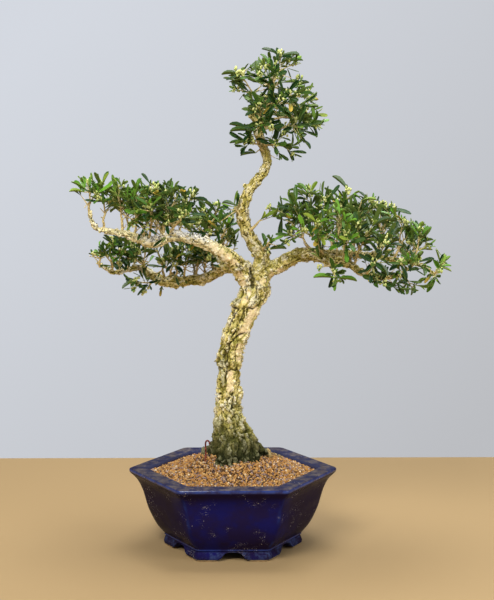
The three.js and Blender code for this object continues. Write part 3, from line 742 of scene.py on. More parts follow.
def sweep(frames, radii, sides, shape=None):
    """A closed stem as a new bmesh. shape(number, angle) may give a share of the radius for each corner."""
    bm = bmesh.new()
    bmesh.ops.create_circle(bm, cap_ends=True, segments=sides, radius=1)
    end = bm.faces[:][0]
    old = Matrix()
    for number, (frame_here, radius) in enumerate(zip(frames, radii)):
        if number:
            grown = bmesh.ops.extrude_face_region(bm, geom=[end])["geom"]
            end = next(item for item in grown if isinstance(item, bmesh.types.BMFace))
        new = frame_here @ Matrix.Diagonal((radius, radius, 1, 1))
        bmesh.ops.transform(bm, matrix=new @ old.inverted(), verts=end.verts)
        old = new
        if shape:
            for vert in end.verts:
                local = (new.inverted() @ vert.co).xy.normalized()
                share = shape(number, math.atan2(local.y, local.x))
                vert.co = new @ Vector((local.x * share, local.y * share, 0))
    bmesh.ops.recalc_face_normals(bm, faces=bm.faces)
    return bm


def tapered(radii, steps):
    """Radii at the stations, evenly between those given at the points."""
    spans = len(radii) - 1
    thick = []
    for i in range(spans * steps + 1):
        k = min(i // steps, spans - 1)
        thick.append(between(radii[k:k + 2], i / steps - k))
    return thick


# %% [markdown]
# ## Anchor wire and drain screen
#
# A copper wire ties the root ball to the pot: its end shows as a small red-brown hook beside the roots. It
# follows the CAD wire's route on a finer, rounder sweep. The drain screen lies unseen under the soil, so
# its CAD node stays and only gets its plastic.

# %% Anchor wire
WIRE_RADIUS = 0.8
WIRE_SIDEWAYS = Vector((-0.4, 1, 0))
COPPER = seen_as(156, 74, 56)
TARNISH = seen_as(92, 42, 34)
WIRE_ROUTE = [
    (-22.6, -14, 103.4), (-23, -14, 105.6), (-24.8, -14, 106.8), (-26.4, -14.2, 104.8), (-26.4, -14.6, 99),
    (-26.6, -15.6, 90), (-29, -18, 63), (-14, -8, 34), (-3.5, -3, 21), (-3.5, -3, 9), (-7, -4, 6.6),
    (-16, -7, 6.2),
]

frames = carried_frames(stations_along(WIRE_ROUTE, 8), WIRE_SIDEWAYS)
wire_mesh = mesh_from(sweep(frames, [WIRE_RADIUS] * len(frames), 10), "wire")

copper = Paint("tarnished_copper", metallic=0.6)
tarnish = copper.noise(copper.millimetres(), 2.5, 3)
copper.set(base_color=copper.mix(tarnish.rise(0.3, 0.7), COPPER, TARNISH))
copper.set(roughness=0.45 + 0.3 * tarnish)
finish(wire_mesh, "anchor_wire", [copper], ["tie_wire"])

# %% Drain screen
SCREEN_BLACK = seen_as(34, 36, 38)
SCREEN_GRIME = seen_as(74, 62, 50)

screen_plastic = Paint("screen_plastic", specular_ior_level=0.4)
grime = screen_plastic.noise(screen_plastic.millimetres(), 3, 3)
screen_plastic.set(base_color=screen_plastic.mix(grime.rise(0.4, 0.8), SCREEN_BLACK, SCREEN_GRIME))
screen_plastic.set(roughness=0.5 + 0.3 * grime)
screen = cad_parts["drain_screen"]
screen.data.materials.clear()
screen.data.materials.append(screen_plastic.material)
print("drain screen:", len(screen.data.polygons), "faces, from the CAD part")

# %% [markdown]
# ## The wood
#
# The tree grew as one piece of wood: root crown, trunk, leader and limbs. Each limb is given as places that
# the middle of the wood passes, with the radius there, just as in the CAD part. Thin surface roots, a flare
# of the root crown on the right, and short spurs where twigs were pruned off are added. All of them are
# swept, then melted into one skin by a voxel remesh. A boolean union would leave creases at the forks, and
# the remesh closes them as living wood does.

# %% Limbs
# X, Y and Z of the middle of the wood, and its radius there
LIMBS = {
    "trunk": [
        (0, 3, 64, 33), (0, 3, 81, 30.5), (0, 3, 91, 27), (0, 3, 102, 21.5), (-3, 3.5, 114, 16.8),
        (-5.5, 3, 128, 13.2), (-4, 2, 146, 11.6), (-4, 1, 163, 10.8), (-3, 0, 178, 11.2),
        (-2, -2, 193, 11.4), (2, -3, 206, 11.4), (8, -3, 221, 11.8), (14.3, -2, 235, 12.1),
        (19.4, 0, 246, 12.5), (23, 2, 256, 13), (26, 4, 267, 11), (28, 5, 276, 8.5),
    ],
    "leader": [
        (28, 5, 271, 9), (28.3, 4, 283, 6.9), (20.4, 3, 295.9, 6.1), (13.6, 1, 309, 5.6),
        (9.5, -1, 323, 5.5), (11.2, -2, 337, 4.9), (15.9, -1, 347.9, 4.8), (23.6, 1, 357.8, 4.4),
        (30.1, 3, 366, 4.3), (33.2, 4, 375.2, 4.1), (30.4, 5, 386.7, 3.8), (26, 5, 399, 3.6),
        (25, 5, 411, 3.4), (29, 6, 422, 3), (34, 7, 434, 2.5), (37, 7, 445, 2), (39, 6, 454, 1.5),
    ],
    "stub": [
        (26, 5, 409, 3.2), (21, 4, 416, 3), (17, 3, 421, 2.6),
    ],
    "right": [
        (24, 5, 269, 8), (35.9, 4, 271.6, 8.1), (47, 2, 276.8, 6.7), (58.1, 0, 283.5, 6.4),
        (68.9, -2, 286.6, 6.6), (79, -4, 286.4, 5.9), (88.9, -6, 282.9, 5.1), (100, -7, 280, 4.5),
        (110, -8, 278, 3.9), (122, -8, 270.6, 3.3), (135, -9, 264.7, 2.4), (149, -10, 265, 2.3),
        (160, -10, 268, 1.9),
    ],
    "right_back": [
        (82, -4, 286, 4.4), (97, 4, 287, 3.8), (116, 12, 285, 3.3), (136, 18, 283, 3), (154, 18, 280, 2.7),
        (171, 14, 278, 2.4), (182, 8, 275, 2.1), (191, 4, 270, 1.7), (196, 2, 265, 1.5),
    ],
    "left": [
        (19, 2, 250, 10), (13, -2, 266, 9.4), (5.6, -7, 275.8, 7.8), (-2.6, -13, 285, 6.6),
        (-11.5, -20, 291.1, 5.4), (-22.3, -27, 297.7, 4.9), (-35.3, -33, 302.9, 4.5),
        (-48.3, -37, 306.2, 4.1), (-58.9, -39, 306.2, 4.5), (-71, -40, 301.3, 4.7),
        (-81.7, -41, 302.1, 4.3), (-93.2, -41, 306.8, 3.5), (-105.2, -41, 310.3, 2.7),
        (-116.3, -40, 311.7, 2.4), (-126.4, -39, 314.5, 2.3), (-131.8, -39, 322.1, 1.9),
        (-133, -39, 331.1, 1.5),
    ],
    "left_low": [
        (14, 4, 268, 6.8), (1.3, 12, 272, 5.8), (-9.5, 20, 270.5, 5.2), (-19.2, 27, 264, 5),
        (-31, 33, 258.6, 4.7), (-44, 38, 256.9, 4.6), (-57.1, 42, 254.8, 5.2), (-68, 45, 255, 5.2),
        (-80.1, 48, 260.9, 4.2), (-93.1, 50, 269.1, 2.9), (-106, 50, 267, 2.4), (-119, 49, 264, 2),
        (-129, 48, 270, 1.7), (-135, 48, 274, 1.5),
    ],
    "left_back": [
        (10, 6, 265, 5.6), (-3, 16, 276, 4.8), (-16, 30, 284, 4), (-28, 40, 289, 3.4), (-42, 48, 293, 2.6),
        (-53, 53, 296, 2),
    ],
}
# The root that runs right, the flare above it, and two roots at the back, each from its start in the crown
ROOTS = [
    [
        (20, 7, 97, 3.0), (27.5, 10, 93.4, 2.1), (33, 13, 90, 1.5), (38, 17, 87.4, 1.1),
        (43, 21, 84.6, 0.8), (49, 24, 81, 0.6),
    ],
    [
        (1, -1, 138, 4.0), (5.5, -1, 127, 4.6), (11.5, -1, 116, 5.0), (18, -1, 105, 5.0), (24, 0, 97, 4.2),
        (31, 2, 91, 2.6), (37, 5, 86, 1.4),
    ],
    [(8, 24, 90, 4.0), (12, 36, 85.6, 2.2), (10, 47, 82.3, 1.0)],
    [(-14, 20, 90, 4.0), (-24, 30, 85.8, 2.0), (-30, 41, 82.4, 0.9)],
]
LIMB_STEPS = 6
SIDEWAYS = Vector((0.3, 1, 0.2))


class Limb:
    """One limb's centre line at close stations, with a frame, a radius and the length so far at each."""

    def __init__(self, points):
        stations = stations_along([point[:3] for point in points], LIMB_STEPS)
        self.frames = carried_frames(stations, SIDEWAYS)
        self.inverses = [frame_here.inverted() for frame_here in self.frames]
        self.radii = tapered([point[3] for point in points], LIMB_STEPS)
        self.lengths = [0.0]
        for (place, _), (following, _) in zip(stations, stations[1:]):
            self.lengths.append(self.lengths[-1] + (following - place).length)
        self.tree = KDTree(len(stations))
        for i, (place, _) in enumerate(stations):
            self.tree.insert(place, i)
        self.tree.balance()


limbs = {name: Limb(points) for name, points in LIMBS.items()}
print("trunk length:", round(limbs["trunk"].lengths[-1]), "mm")

# %% [markdown]
# The root crown isn't round: five lobes swell out of the trunk towards the soil, where the main roots leave
# it.

# %% Root lobes
ROOT_LOBES = 5
ROOT_LOBE_SHARE = 0.16
ROOT_LOBES_TURN = 3.25
ROOT_LOBES_START = 108
ROOT_LOBES_FULL = 80


def root_lobes(number, angle):
    """The share of the trunk's radius at one of its stations, for each angle round it."""
    height = limbs["trunk"].frames[number].translation.z
    lobes = 1 - smoothstep(ROOT_LOBES_FULL, ROOT_LOBES_START, height)
    return 1 + lobes * ROOT_LOBE_SHARE * math.cos(ROOT_LOBES * angle + ROOT_LOBES_TURN)


# %% Spurs
SPUR_STEP = 5
SPUR_OUT = (0.5, 3.2)
SPUR_THICK = (0.16, 0.3)
SPUR_LEAN = 0.4


def spurs(limb, number):
    """Short stubs where twigs were pruned off, one about every five millimetres."""
    spot = SPUR_STEP
    while spot < limb.lengths[-1] - 4:
        i = min(range(len(limb.lengths)), key=lambda k: abs(limb.lengths[k] - spot))
        radius = limb.radii[i]
        start = limb.frames[i].translation
        angle = FULL_TURN * chance(number, i, 51)
        out = limb.frames[i] @ Vector((math.cos(angle), math.sin(angle), SPUR_LEAN)) - start
        out = out.normalized()
        reach = radius + between(SPUR_OUT, chance(number, i, 52) ** 1.5)
        thick = between(SPUR_THICK, chance(number, i, 53)) * radius + 0.55
        stations = [(start + out * reach * share, out) for share in (0.4, 0.85, 1.0)]
        yield sweep(carried_frames(stations, SIDEWAYS), (thick * 1.5, thick * 1.1, thick * 0.7), 8)
        spot += SPUR_STEP * (0.6 + 0.8 * chance(number, i, 54))


# %% Sweep and melt
VOXEL = 0.9
LIMB_SIDES = 28
ROOT_STEPS = 5
UPWARDS = Vector((0, 0, 1))

bm = bmesh.new()
for number, (name, limb) in enumerate(limbs.items()):
    swept = sweep(limb.frames, limb.radii, LIMB_SIDES, root_lobes if name == "trunk" else None)
    pour(bm, mesh_from(swept, name))
    if name != "trunk":
        for spur in spurs(limb, number):
            pour(bm, mesh_from(spur, "spur"))
for points in ROOTS:
    frames = carried_frames(stations_along([point[:3] for point in points], ROOT_STEPS), UPWARDS)
    thick = tapered([point[3] for point in points], ROOT_STEPS)
    pour(bm, mesh_from(sweep(frames, thick, 12), "root"))
wood_mesh = carried(mesh_from(bm, "wood"), ("REMESH", {"mode": "VOXEL", "voxel_size": VOXEL}))

bm = bmesh.new()
bm.from_mesh(wood_mesh)
for _ in range(3):
    bmesh.ops.smooth_vert(bm, verts=bm.verts, factor=0.5, use_axis_x=True, use_axis_y=True, use_axis_z=True)
bm.normal_update()
bm.to_mesh(wood_mesh)
bm.free()
print("wood skin:", len(wood_mesh.vertices), "points")

# %% [markdown]
# ### Corky bark
#
# Old boxwood bark splits into thick corky plates with dark fissures between them, longer along the limb
# than across it. Cells of a Voronoi pattern are plates, and their borders are fissures. The pattern is laid
# in straightened coordinates, the length along the limb and the place across it, so it follows every bend.
# Noise bends the cells, widens some fissures and closes others, because an even pattern looks like scales.
# Where two limbs meet, both patterns are blended by how close each limb's surface is.

# %% Bark relief
# Length and width of a plate on the trunk, and the size of its crumbs
PLATE = (12.5, 5.2)
CRUMB = 2.6
# The limb radius at which plates have that size, and how far they shrink and grow with the radius
PLATE_RADIUS = 12
PLATE_GRADES = (0.55, 1.1)


def straightened(limb, point):
    """Length along the limb, the place across it, its radius there, and the distance from its surface."""
    _, i, _ = limb.tree.find(point)
    local = limb.inverses[i] @ point
    across = Vector((local.x, local.y))
    return limb.lengths[i] + local.z, across, limb.radii[i], across.length - limb.radii[i]


def plates(place, radius):
    """Height of the bark at a straightened place, how deep it lies in a fissure, and its plate's number."""
    grade = min(max(radius / PLATE_RADIUS, PLATE_GRADES[0]), PLATE_GRADES[1])
    spot = place / grade
    bend = noise.noise_vector(spot / 11) * 0.85 + noise.noise_vector(spot / 3.4) * 0.3
    cell = Vector((spot.x / PLATE[0], spot.y / PLATE[1], spot.z / PLATE[1])) + bend
    distances, middles = noise.voronoi(cell)
    middle = middles[0]
    gap = 0.07 + 0.38 * abs(noise.noise(spot / 6))
    split = smoothstep(0.0, gap, distances[1] - distances[0])
    own = chance(round(7 * middle.x), round(7 * middle.y), round(7 * middle.z))
    lean = chance(round(9 * middle.z), round(9 * middle.x), 3) - 0.5
    tilt = 0.5 * (cell.x - middle.x) * (own - 0.3) + 0.6 * (cell.y - middle.y) * lean
    crumb = 0.5 - noise.voronoi(place / CRUMB)[0][0]
    ridge = noise.noise(Vector((spot.x / 6, spot.y / 1.7, spot.z / 1.7)))
    lump = noise.noise(place / 7)
    height = split * (0.18 + 0.62 * own) + tilt + 0.26 * crumb + 0.2 * ridge + 0.4 * lump + 0.12
    return height, 1 - split, own


# %% [markdown]
# Some places differ. On strips of the trunk the cork has come off and smooth tan wood shows, clefts part
# the limbs at the fork and run down between the ridges, and crumbly green zones lie between. The strips and
# zones were read off the front, so each is a spot of X and Z that works on wood facing forward. A cleft is
# a row of pixels of the photograph. Bulges give the trunk its outline: each is a ball in space.

# %% Bare strips, clefts, green zones and bulges
# X, Z and reach of the bare strips
BARE = [
    (20.8, 234, 5.5), (18.5, 229, 6), (16.1, 224.3, 6), (13.7, 219.4, 6), (10.8, 214.6, 5.5),
    (8, 210.7, 4.5), (7, 199.2, 4.5), (7, 192.4, 5), (6.6, 185.7, 4.5), (-2.6, 171.2, 5), (-2.6, 165.4, 5),
    (-2.6, 159.6, 5), (-3, 155.7, 4.5), (-10.5, 290, 5), (-4.4, 285, 5.5), (1.3, 280.3, 5), (7, 267, 5),
    (9, 259, 5), (28.9, 261, 4.5), (12, 243, 4), (15, 250, 3.5), (38, 266, 4.5), (46, 271, 4),
    (-16, 295, 4.5), (-20, 297, 4),
]
# Pixels along each cleft, and its half width in pixels
CLEFTS = [
    ([(251.2, 268), (252.4, 276), (253, 287)], 2.3),
    ([(244.5, 286.2), (252, 285.6), (261, 286)], 0.8),
    ([(256.4, 287), (257.2, 293), (256.6, 299)], 1.1),
    ([(246, 288), (246.8, 298)], 0.8),
    ([(231.8, 308), (238, 309), (245.6, 307.6), (253.4, 309), (260, 305.6)], 1.1),
    ([(243.6, 311), (238, 325), (231, 338)], 0.9),
    ([(236, 313), (230.6, 323), (226.4, 333)], 0.8),
    ([(245.4, 333), (235, 338.4), (222.5, 348.6)], 1.0),
    ([(230.4, 343), (226.8, 360), (225.2, 383)], 1.0),
    ([(237.6, 345), (234.4, 366)], 0.8),
    ([(226, 371.8), (233, 370.4), (239.6, 371)], 0.8),
    ([(230.4, 391), (226.4, 406)], 0.9),
    ([(234, 394), (231.6, 409)], 0.8),
    ([(223, 418), (221, 432), (218.6, 446)], 0.9),
    ([(234.6, 428), (235.6, 444), (239.4, 461)], 1.3),
    ([(243.6, 423), (250, 438), (257.4, 455)], 1.0),
    ([(228.4, 433), (225.4, 444), (222, 456)], 1.1),
    ([(236, 264), (238.4, 268), (240.6, 275)], 0.9),
]
# X, Z and reach of the green zones
GREEN = [
    (-9.2, 187, 8), (-10, 176, 8), (-10.6, 165, 8), (0, 138, 9), (4, 128, 9), (-12, 120, 9), (24, 243, 6),
    (3, 241, 6),
]
# Centre and reach of each bulge, and how far it is pushed out
BULGES = [
    ((4.5, -6, 239), 7, 3.8), ((2.5, -3, 233), 6, 2.6), ((-15, 0, 181), 6, 2.4), ((-11, -2, 214), 6, 2.2),
    ((34, 0, 257), 6, -1.6), ((32, 0, 248), 4, 1.2), ((26, -2, 235), 7, -2.2), ((20, 0, 213), 6, -1),
    ((11, 0, 186), 5, 1.2), ((8, 0, 175), 4, -1.2), ((10, 2, 150), 6, 1.2), ((-19, 2, 132), 11, -2),
    ((-14, 0, 195), 5, -1.2), ((12, 0, 140), 5, 1.6), ((-15, -8, 108), 6, 1.4), ((16, -14, 104), 7, 1.6),
    ((-17, 4, 206), 4, 1.6), ((24, -3, 219), 4, 1.4), ((9, -8, 249), 4, -1.5), ((-1, -7, 228), 4, -1.6),
    ((2, -8, 242), 4, 1.2),
]


def within(point, centre, reach):
    return 1 - smoothstep(0.3 * reach, reach, (point - Vector(centre)).length)


def spotted(spots, point):
    """The strongest of a list of spots at a point, seen from the front. Noise frays the spots."""
    fray = noise.noise_vector(point / 3) * 1.6
    px, pz = point.x + fray.x, point.z + fray.z
    return max(1 - smoothstep(0.4 * reach, reach, math.hypot(px - x, pz - z)) for x, z, reach in spots)


def off_line(spot, start, end):
    """Distance of a spot from a straight stretch."""
    run = end - start
    share = min(max((spot - start).dot(run) / run.length_squared, 0), 1)
    return (spot - start - run * share).length


STRETCHES = [
    (Vector(start), Vector(end), half) for path, half in CLEFTS for start, end in zip(path, path[1:])
]


def in_cleft(point):
    """How deep a point lies in a cleft, from 0 to 1. Noise makes the cleft crooked and breaks it up."""
    fray = noise.noise_vector(point / 5) * 1.5 + noise.noise_vector(point / 1.8) * 0.6
    spot = in_picture(point) + fray.xz
    strength = 0.75 + 0.5 * noise.noise(point / 4)
    deepest = 0.0
    for start, end, half in STRETCHES:
        deepest = max(deepest, 1 - smoothstep(0.35 * half, 1.5 * half, off_line(spot, start, end)))
    return deepest * strength


# %% [markdown]
# The main roots have grown together into the crown, and upright creases part them. They need no list: noise
# that is read round the trunk and hardly changes with the height gives upright lines wherever it passes
# zero.

# %% Root creases
CROWN_Y = 3
CREASE_TURNS = 3.2
CREASE_LENGTH = 34
CREASE_FADE = (106, 140)


def root_creases(point):
    """How deep a point lies in the upright creases of the root crown."""
    turn = math.atan2(point.y - CROWN_Y, point.x)
    ring = (CREASE_TURNS * math.cos(turn), CREASE_TURNS * math.sin(turn), point.z / CREASE_LENGTH)
    line = noise.noise(Vector(ring) + noise.noise_vector(point / 9) * 0.12)
    return (1 - smoothstep(0.0, 0.16, abs(line))) * (1 - smoothstep(*CREASE_FADE, point.z))


# %% [markdown]
# Now each point of the skin reads the limbs near it, adds up its height and moves along its normal. What
# the colours need later is stored at the points: fissure, bareness, height and plate in one attribute, the
# straightened place in a second, and the green zones in a third. A displacement texture would be quicker,
# but it couldn't know the limbs.

# %% Work the relief out
RELIEF_SHARE = 0.23
RELIEF = (1.3, 2.5)
BLEND = 1.2
LIMB_APART = 100
BARE_HEIGHT = 0.25
MIDDLE_HEIGHT = 0.45
CLEFT_DEPTH = 2.4

count = len(wood_mesh.vertices)
points = [vert.co.copy() for vert in wood_mesh.vertices]
normals = [vert.normal.copy() for vert in wood_mesh.vertices]
bark_look = np.zeros((count, 4), np.float32)
bark_place = np.zeros((count, 3), np.float32)
bark_film = np.zeros(count, np.float32)
for index, point in enumerate(points):
    readings = [(straightened(limb, point), number) for number, limb in enumerate(limbs.values())]
    nearest = min(reading[3] for reading, _ in readings)
    total = height = fissure = radius = shade = 0.0
    for (along, across, thick, gap), number in readings:
        if gap > nearest + 3 * BLEND:
            continue
        place = Vector((along, across.x, across.y + LIMB_APART * number))
        if gap == nearest:
            bark_place[index] = place
        weight = math.exp((nearest - gap) / BLEND)
        high, deep, own = plates(place, thick)
        total += weight
        height += weight * high
        fissure += weight * deep
        shade += weight * own
        radius += weight * thick
    height, fissure, shade, radius = height / total, fissure / total, shade / total, radius / total
    facing = smoothstep(0.0, 0.5, -normals[index].y)
    bare = cleft = 0.0
    crease = root_creases(point)
    if facing > 0:
        bare = facing * spotted(BARE, point)
        cleft = facing * in_cleft(point)
        bark_film[index] = facing * spotted(GREEN, point)
    depth = 1.8 * min(max(RELIEF_SHARE * radius, RELIEF[0]), RELIEF[1])
    rise = depth * (between((height, BARE_HEIGHT), bare * 0.85) - MIDDLE_HEIGHT)
    rise -= CLEFT_DEPTH * max(cleft, 0.9 * crease)
    for centre, reach, push in BULGES:
        if (point - Vector(centre)).length < reach:
            rise += push * within(point, centre, reach)
    wood_mesh.vertices[index].co = point + normals[index] * rise
    bark_look[index] = (max(fissure * (1 - bare), 1.3 * cleft, crease), bare, height, shade)
stored = wood_mesh.attributes
stored.new("bark_look", "FLOAT_COLOR", "POINT").data.foreach_set("color", bark_look.ravel())
stored.new("bark_place", "FLOAT_VECTOR", "POINT").data.foreach_set("vector", bark_place.ravel())
stored.new("bark_film", "FLOAT", "POINT").data.foreach_set("value", bark_film)
print("heights:", [round(float(value), 2) for value in np.percentile(bark_look[:, 2], (5, 50, 95))])

# %% [markdown]
# ### Bark colour
#
# Cork is cream and straw coloured where it stands high and olive where it lies low. Fissures, clefts and
# creases are painted near black: partly the dark inner bark, partly painted shade in those hollows. Fine
# fibres run along each limb, so their noise is laid in the straightened coordinates too. A second, smaller
# Voronoi pattern gives flakes: they are too fine for the mesh, so they come as colour and bump.

# %% Bark: places and patterns
bark = Paint("corky_bark", specular_ior_level=0.2)
where = bark.millimetres()
x, y, z = where.parts()
fissure, bare, height = bark.attribute("bark_look").parts()
shade = bark.attribute("bark_look", out="Alpha")
upward = bark.node("NewGeometry", out="Normal").parts()[2]
patchy = bark.noise(where, 12, 4, 0.6)
crumbly = bark.noise(where, 1.6, 4, 0.65)
along_limb = bark.attribute("bark_place")
fibres = bark.noise(bark.stretched(along_limb, (0.22, 1, 1)), 1.3, 4, 0.6)
wobble = bark.node("TexNoise", None, {"Vector": where, "Scale": 0.25, "Detail": 3}, out="Color")
fine_strands = bark.noise(bark.stretched(along_limb, (0.3, 1, 1)), 2.2, 3, 0.7)
even_spot = bark.stretched(along_limb, (0.16, 0.34, 0.34))
wobbly = {0: wobble, 1: (1.6, 1.6, 1.6), 2: even_spot}
flake_spot = bark.node("VectorMath", {"operation": "MULTIPLY_ADD"}, wobbly)
flake = bark.node("TexVoronoi", None, {"Vector": flake_spot, "Scale": 1.0}, out="Color").parts()[0]
flake_edge = bark.node("TexVoronoi", {"feature": "DISTANCE_TO_EDGE"}, {"Vector": flake_spot, "Scale": 1.0})
print("bark, patterns:", len(bark.tree.nodes), "nodes")

# %% Bark: cork and film
CREAM = seen_as(255, 247, 212)
STRAW = seen_as(244, 228, 152)
KHAKI = seen_as(214, 198, 112)
OLIVE_CORK = seen_as(136, 122, 44)
ALGAE = seen_as(170, 170, 84)
MOSS = seen_as(28, 33, 8)
UMBER = seen_as(140, 106, 62)
TAN = seen_as(248, 226, 186)

level = height + 0.18 * (crumbly - 0.5) + 0.22 * (fibres - 0.5) + 0.45 * (flake - 0.5)
colour = bark.mix(level.rise(0.06, 0.34), OLIVE_CORK, KHAKI)
colour = bark.mix(level.rise(0.26, 0.54), colour, STRAW)
colour = bark.mix((level + 0.3 * shade).rise(0.72, 1.04), colour, CREAM)
film = bark.attribute("bark_film", out="Fac")
filmed = (patchy + 0.3 * crumbly - 0.3 * height).rise(0.46, 0.66) * 0.55
colour = bark.mix(bark.most(filmed, film * 0.45) * (1 - bare), colour, ALGAE)
tufts = film * (crumbly + 0.25 * fissure).rise(0.46, 0.62) * (1 - bare)
colour = bark.mix(tufts * 0.4, colour, MOSS)
rusty = bark.noise(where, 7, 3).rise(0.6, 0.72) * (1 - bare) * 0.5
colour = bark.mix(rusty * 0.7, colour, UMBER)
colour = bark.mix(bare * fibres.rise(0.8, 0.3), colour, TAN)

# %% [markdown]
# The parts of the tree differ in colour, and X, Y and Z tell them apart. The long left-hand limb is the
# palest, and its upward-facing top gets a painted highlight. The limbs on the right lie in the shade and
# get painted shade: they are more olive.

# %% Bark: limbs and fissures
HIGHLIGHT_CREAM = seen_as(255, 250, 238)
SPLIT = seen_as(50, 42, 12)

# Painted shade: the limbs on the right, which lie in the shade, are made more olive.
shaded_limbs = z.rise(262, 285) * x.rise(0, 12) * 0.3
colour = bark.mix(shaded_limbs * (1 - bare), colour, OLIVE_CORK)
left_limb = z.rise(278, 292) * (1 - x.rise(-24, 4)) * (1 - y.rise(0, 12))
colour = bark.mix(left_limb * 0.4, colour, CREAM)
# A painted highlight on the upward-facing top of the left-hand limb.
highlight_reach = 1 - abs(x + 52).rise(20, 38)
colour = bark.mix(upward.rise(-0.1, 0.5) * z.rise(290, 300) * highlight_reach * 0.9, colour, HIGHLIGHT_CREAM)
cracks = (1 - flake_edge.rise(0.02, 0.11)) * crumbly.rise(0.38, 0.56) * (1 - bare) * 0.4
pits = crumbly.rise(0.62, 0.75) * 0.2 * (1 - bare)
# Near black in fissures, clefts, creases, cracks and pits: partly the dark inner bark, partly painted shade
# in those hollows.
dark = bark.math("MINIMUM", fissure.rise(0.3, 1.1) * 0.85 + pits + cracks, 0.92)
colour = bark.mix(dark, colour, SPLIT)

# %% [markdown]
# The root crown is green and dark with moss, and paler strands of bark show through it where they stand
# highest. The thin root on the right is clean and tan.

# %% Bark: root crown
MOSSY_CORK = seen_as(146, 148, 74)
ROOT_TAN = seen_as(196, 170, 116)

mossy = (1 - z.rise(98, 134)) * (patchy + 0.25 * crumbly + 0.2 * (1 - height)).rise(0.42, 0.68)
strands = (level + 0.5 * (fine_strands - 0.5)).rise(0.62, 0.92)
crown = (1 - z.rise(90, 126)) * (0.97 - 0.75 * strands)
colour = bark.mix((1 - z.rise(96, 144)) * 0.6, colour, MOSSY_CORK)
dark_spots = crumbly.rise(0.45, 0.57) * (1 - z.rise(102, 138)) * 0.75
colour = bark.mix(bark.most(mossy * 0.75, crown, dark_spots), colour, MOSS)
away_squared = x * x + (y - CROWN_Y) * (y - CROWN_Y)
root = away_squared.rise(1150, 1350) * (1 - z.rise(98, 104))
colour = bark.mix(root * x.rise(20, 26), colour, ROOT_TAN)
relief = bark.bump(crumbly + 0.7 * fibres + (0.8 * flake - cracks) * (1 - bare), 0.0011)
bark.set(base_color=colour, roughness=0.8 + 0.15 * crumbly, normal=relief)
finish(wood_mesh, "wood", [bark], ["trunk"])

# %% [markdown]
# ## Soil and grit
#
# The bed is the CAD soil itself, merged and sunk by half a grain, so it already has its holes for the roots
# and the wire. Over it lie some five thousand grains of baked clay with a little lava. A loop over rows and
# columns lays each near its own crossing, pushed aside by chance. A grain is a ball of 20 faces that is
# knocked about, which reads as a crumb at this size.

# %% Grain shapes
GRAIN_SHAPES = 5
GRAIN_BUMPS = (0.86, 0.34)


def grain_shape(number):
    """A lumpy ball, 1 across."""
    bm = bmesh.new()
    bmesh.ops.create_icosphere(bm, subdivisions=1, radius=0.5)
    for i, vert in enumerate(bm.verts):
        vert.co *= GRAIN_BUMPS[0] + GRAIN_BUMPS[1] * chance(i, number, 17)
    mesh = mesh_from(bm, "grain")
    mesh.attributes.new("tint", "FLOAT_COLOR", "POINT")
    return mesh


grain_shapes = [grain_shape(number) for number in range(GRAIN_SHAPES)]
print("grain:", len(grain_shapes[0].polygons), "faces")


# %% Tinted copies
def add_copy(bm, shape, matrix, tint):
    """Adds a copy of a shape to a bmesh, placed by the matrix and tinted with three numbers."""
    copy = shape.copy()
    copy.transform(matrix)
    store = copy.attributes["tint"].data
    store.foreach_set("color", np.tile(np.array((*tint, 1), np.float32), len(store)))
    pour(bm, copy)


# %% The soil's surface
SOIL_AT_WALL = 73.5
SOIL_RISE = 14
# Distances from the trunk at which the mound begins and is at its full height
MOUND = (74, 18)
TRUNK_CENTRE = (4, 4)


def soil_height(x, y):
    """Height of the mound of soil."""
    away = math.hypot(x - TRUNK_CENTRE[0], y - TRUNK_CENTRE[1])
    return SOIL_AT_WALL + SOIL_RISE * smoothstep(*MOUND, away)


def inside_hexagon(x, y, corner):
    """Whether a place lies within the pot's walls, whose corners are at the given distance."""
    apothem = corner * math.cos(math.pi / 6)
    walls = (math.pi / 6 + side * math.pi / 3 for side in range(6))
    return all(x * math.cos(a) + y * math.sin(a) < apothem for a in walls)


# %% Soil bed
BED_SUNK = 1.4
BED_TINT = (0.05, 0.5, 0, 1)

bm = bmesh.new()
bm.from_mesh(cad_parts["soil"].data)
bmesh.ops.transform(bm, matrix=TO_METRES.inverted(), verts=bm.verts)
bmesh.ops.remove_doubles(bm, verts=bm.verts, dist=1e-3)
surface = [vert for vert in bm.verts if vert.co.z > SOIL_AT_WALL - 2]
bmesh.ops.translate(bm, vec=(0, 0, -BED_SUNK), verts=surface)
layer = bm.verts.layers.float_color.new("tint")
for vert in bm.verts:
    vert[layer] = BED_TINT

# %% Grains
GRAIN_SIZE = (1.7, 3.3)
GRAIN_WIDTH = (0.85, 1.15)
GRAIN_HEIGHT = 0.8
GRAIN_STEP = 1.85
GRAIN_STRAY = 0.9
SOIL_REACH = 83.6
CROWN_REACH = 22
# The little heap of grains to the left of the root crown, and the height of one layer of it
HEAP_PLACE = (-25, -4)
HEAP_REACH = (8, 24)
HEAP_HEIGHT = 6
GRAIN_LAYER = 1.8


def add_grain(bm, shape, place, size, i, j):
    """Adds one grain, turned, squeezed and tinted by two counters."""
    axis = Vector((chance(i, j, 6), chance(i, j, 7), 0.4)).normalized()
    turn = Matrix.Rotation(6.3 * chance(i, j, 5), 4, axis)
    width = size * between(GRAIN_WIDTH, chance(i, j, 8))
    squeeze = Matrix.Diagonal((size, width, size * GRAIN_HEIGHT, 1))
    add_copy(bm, shape, Matrix.Translation(place) @ turn @ squeeze, (chance(i, j, 9), chance(i, j, 10), 1))


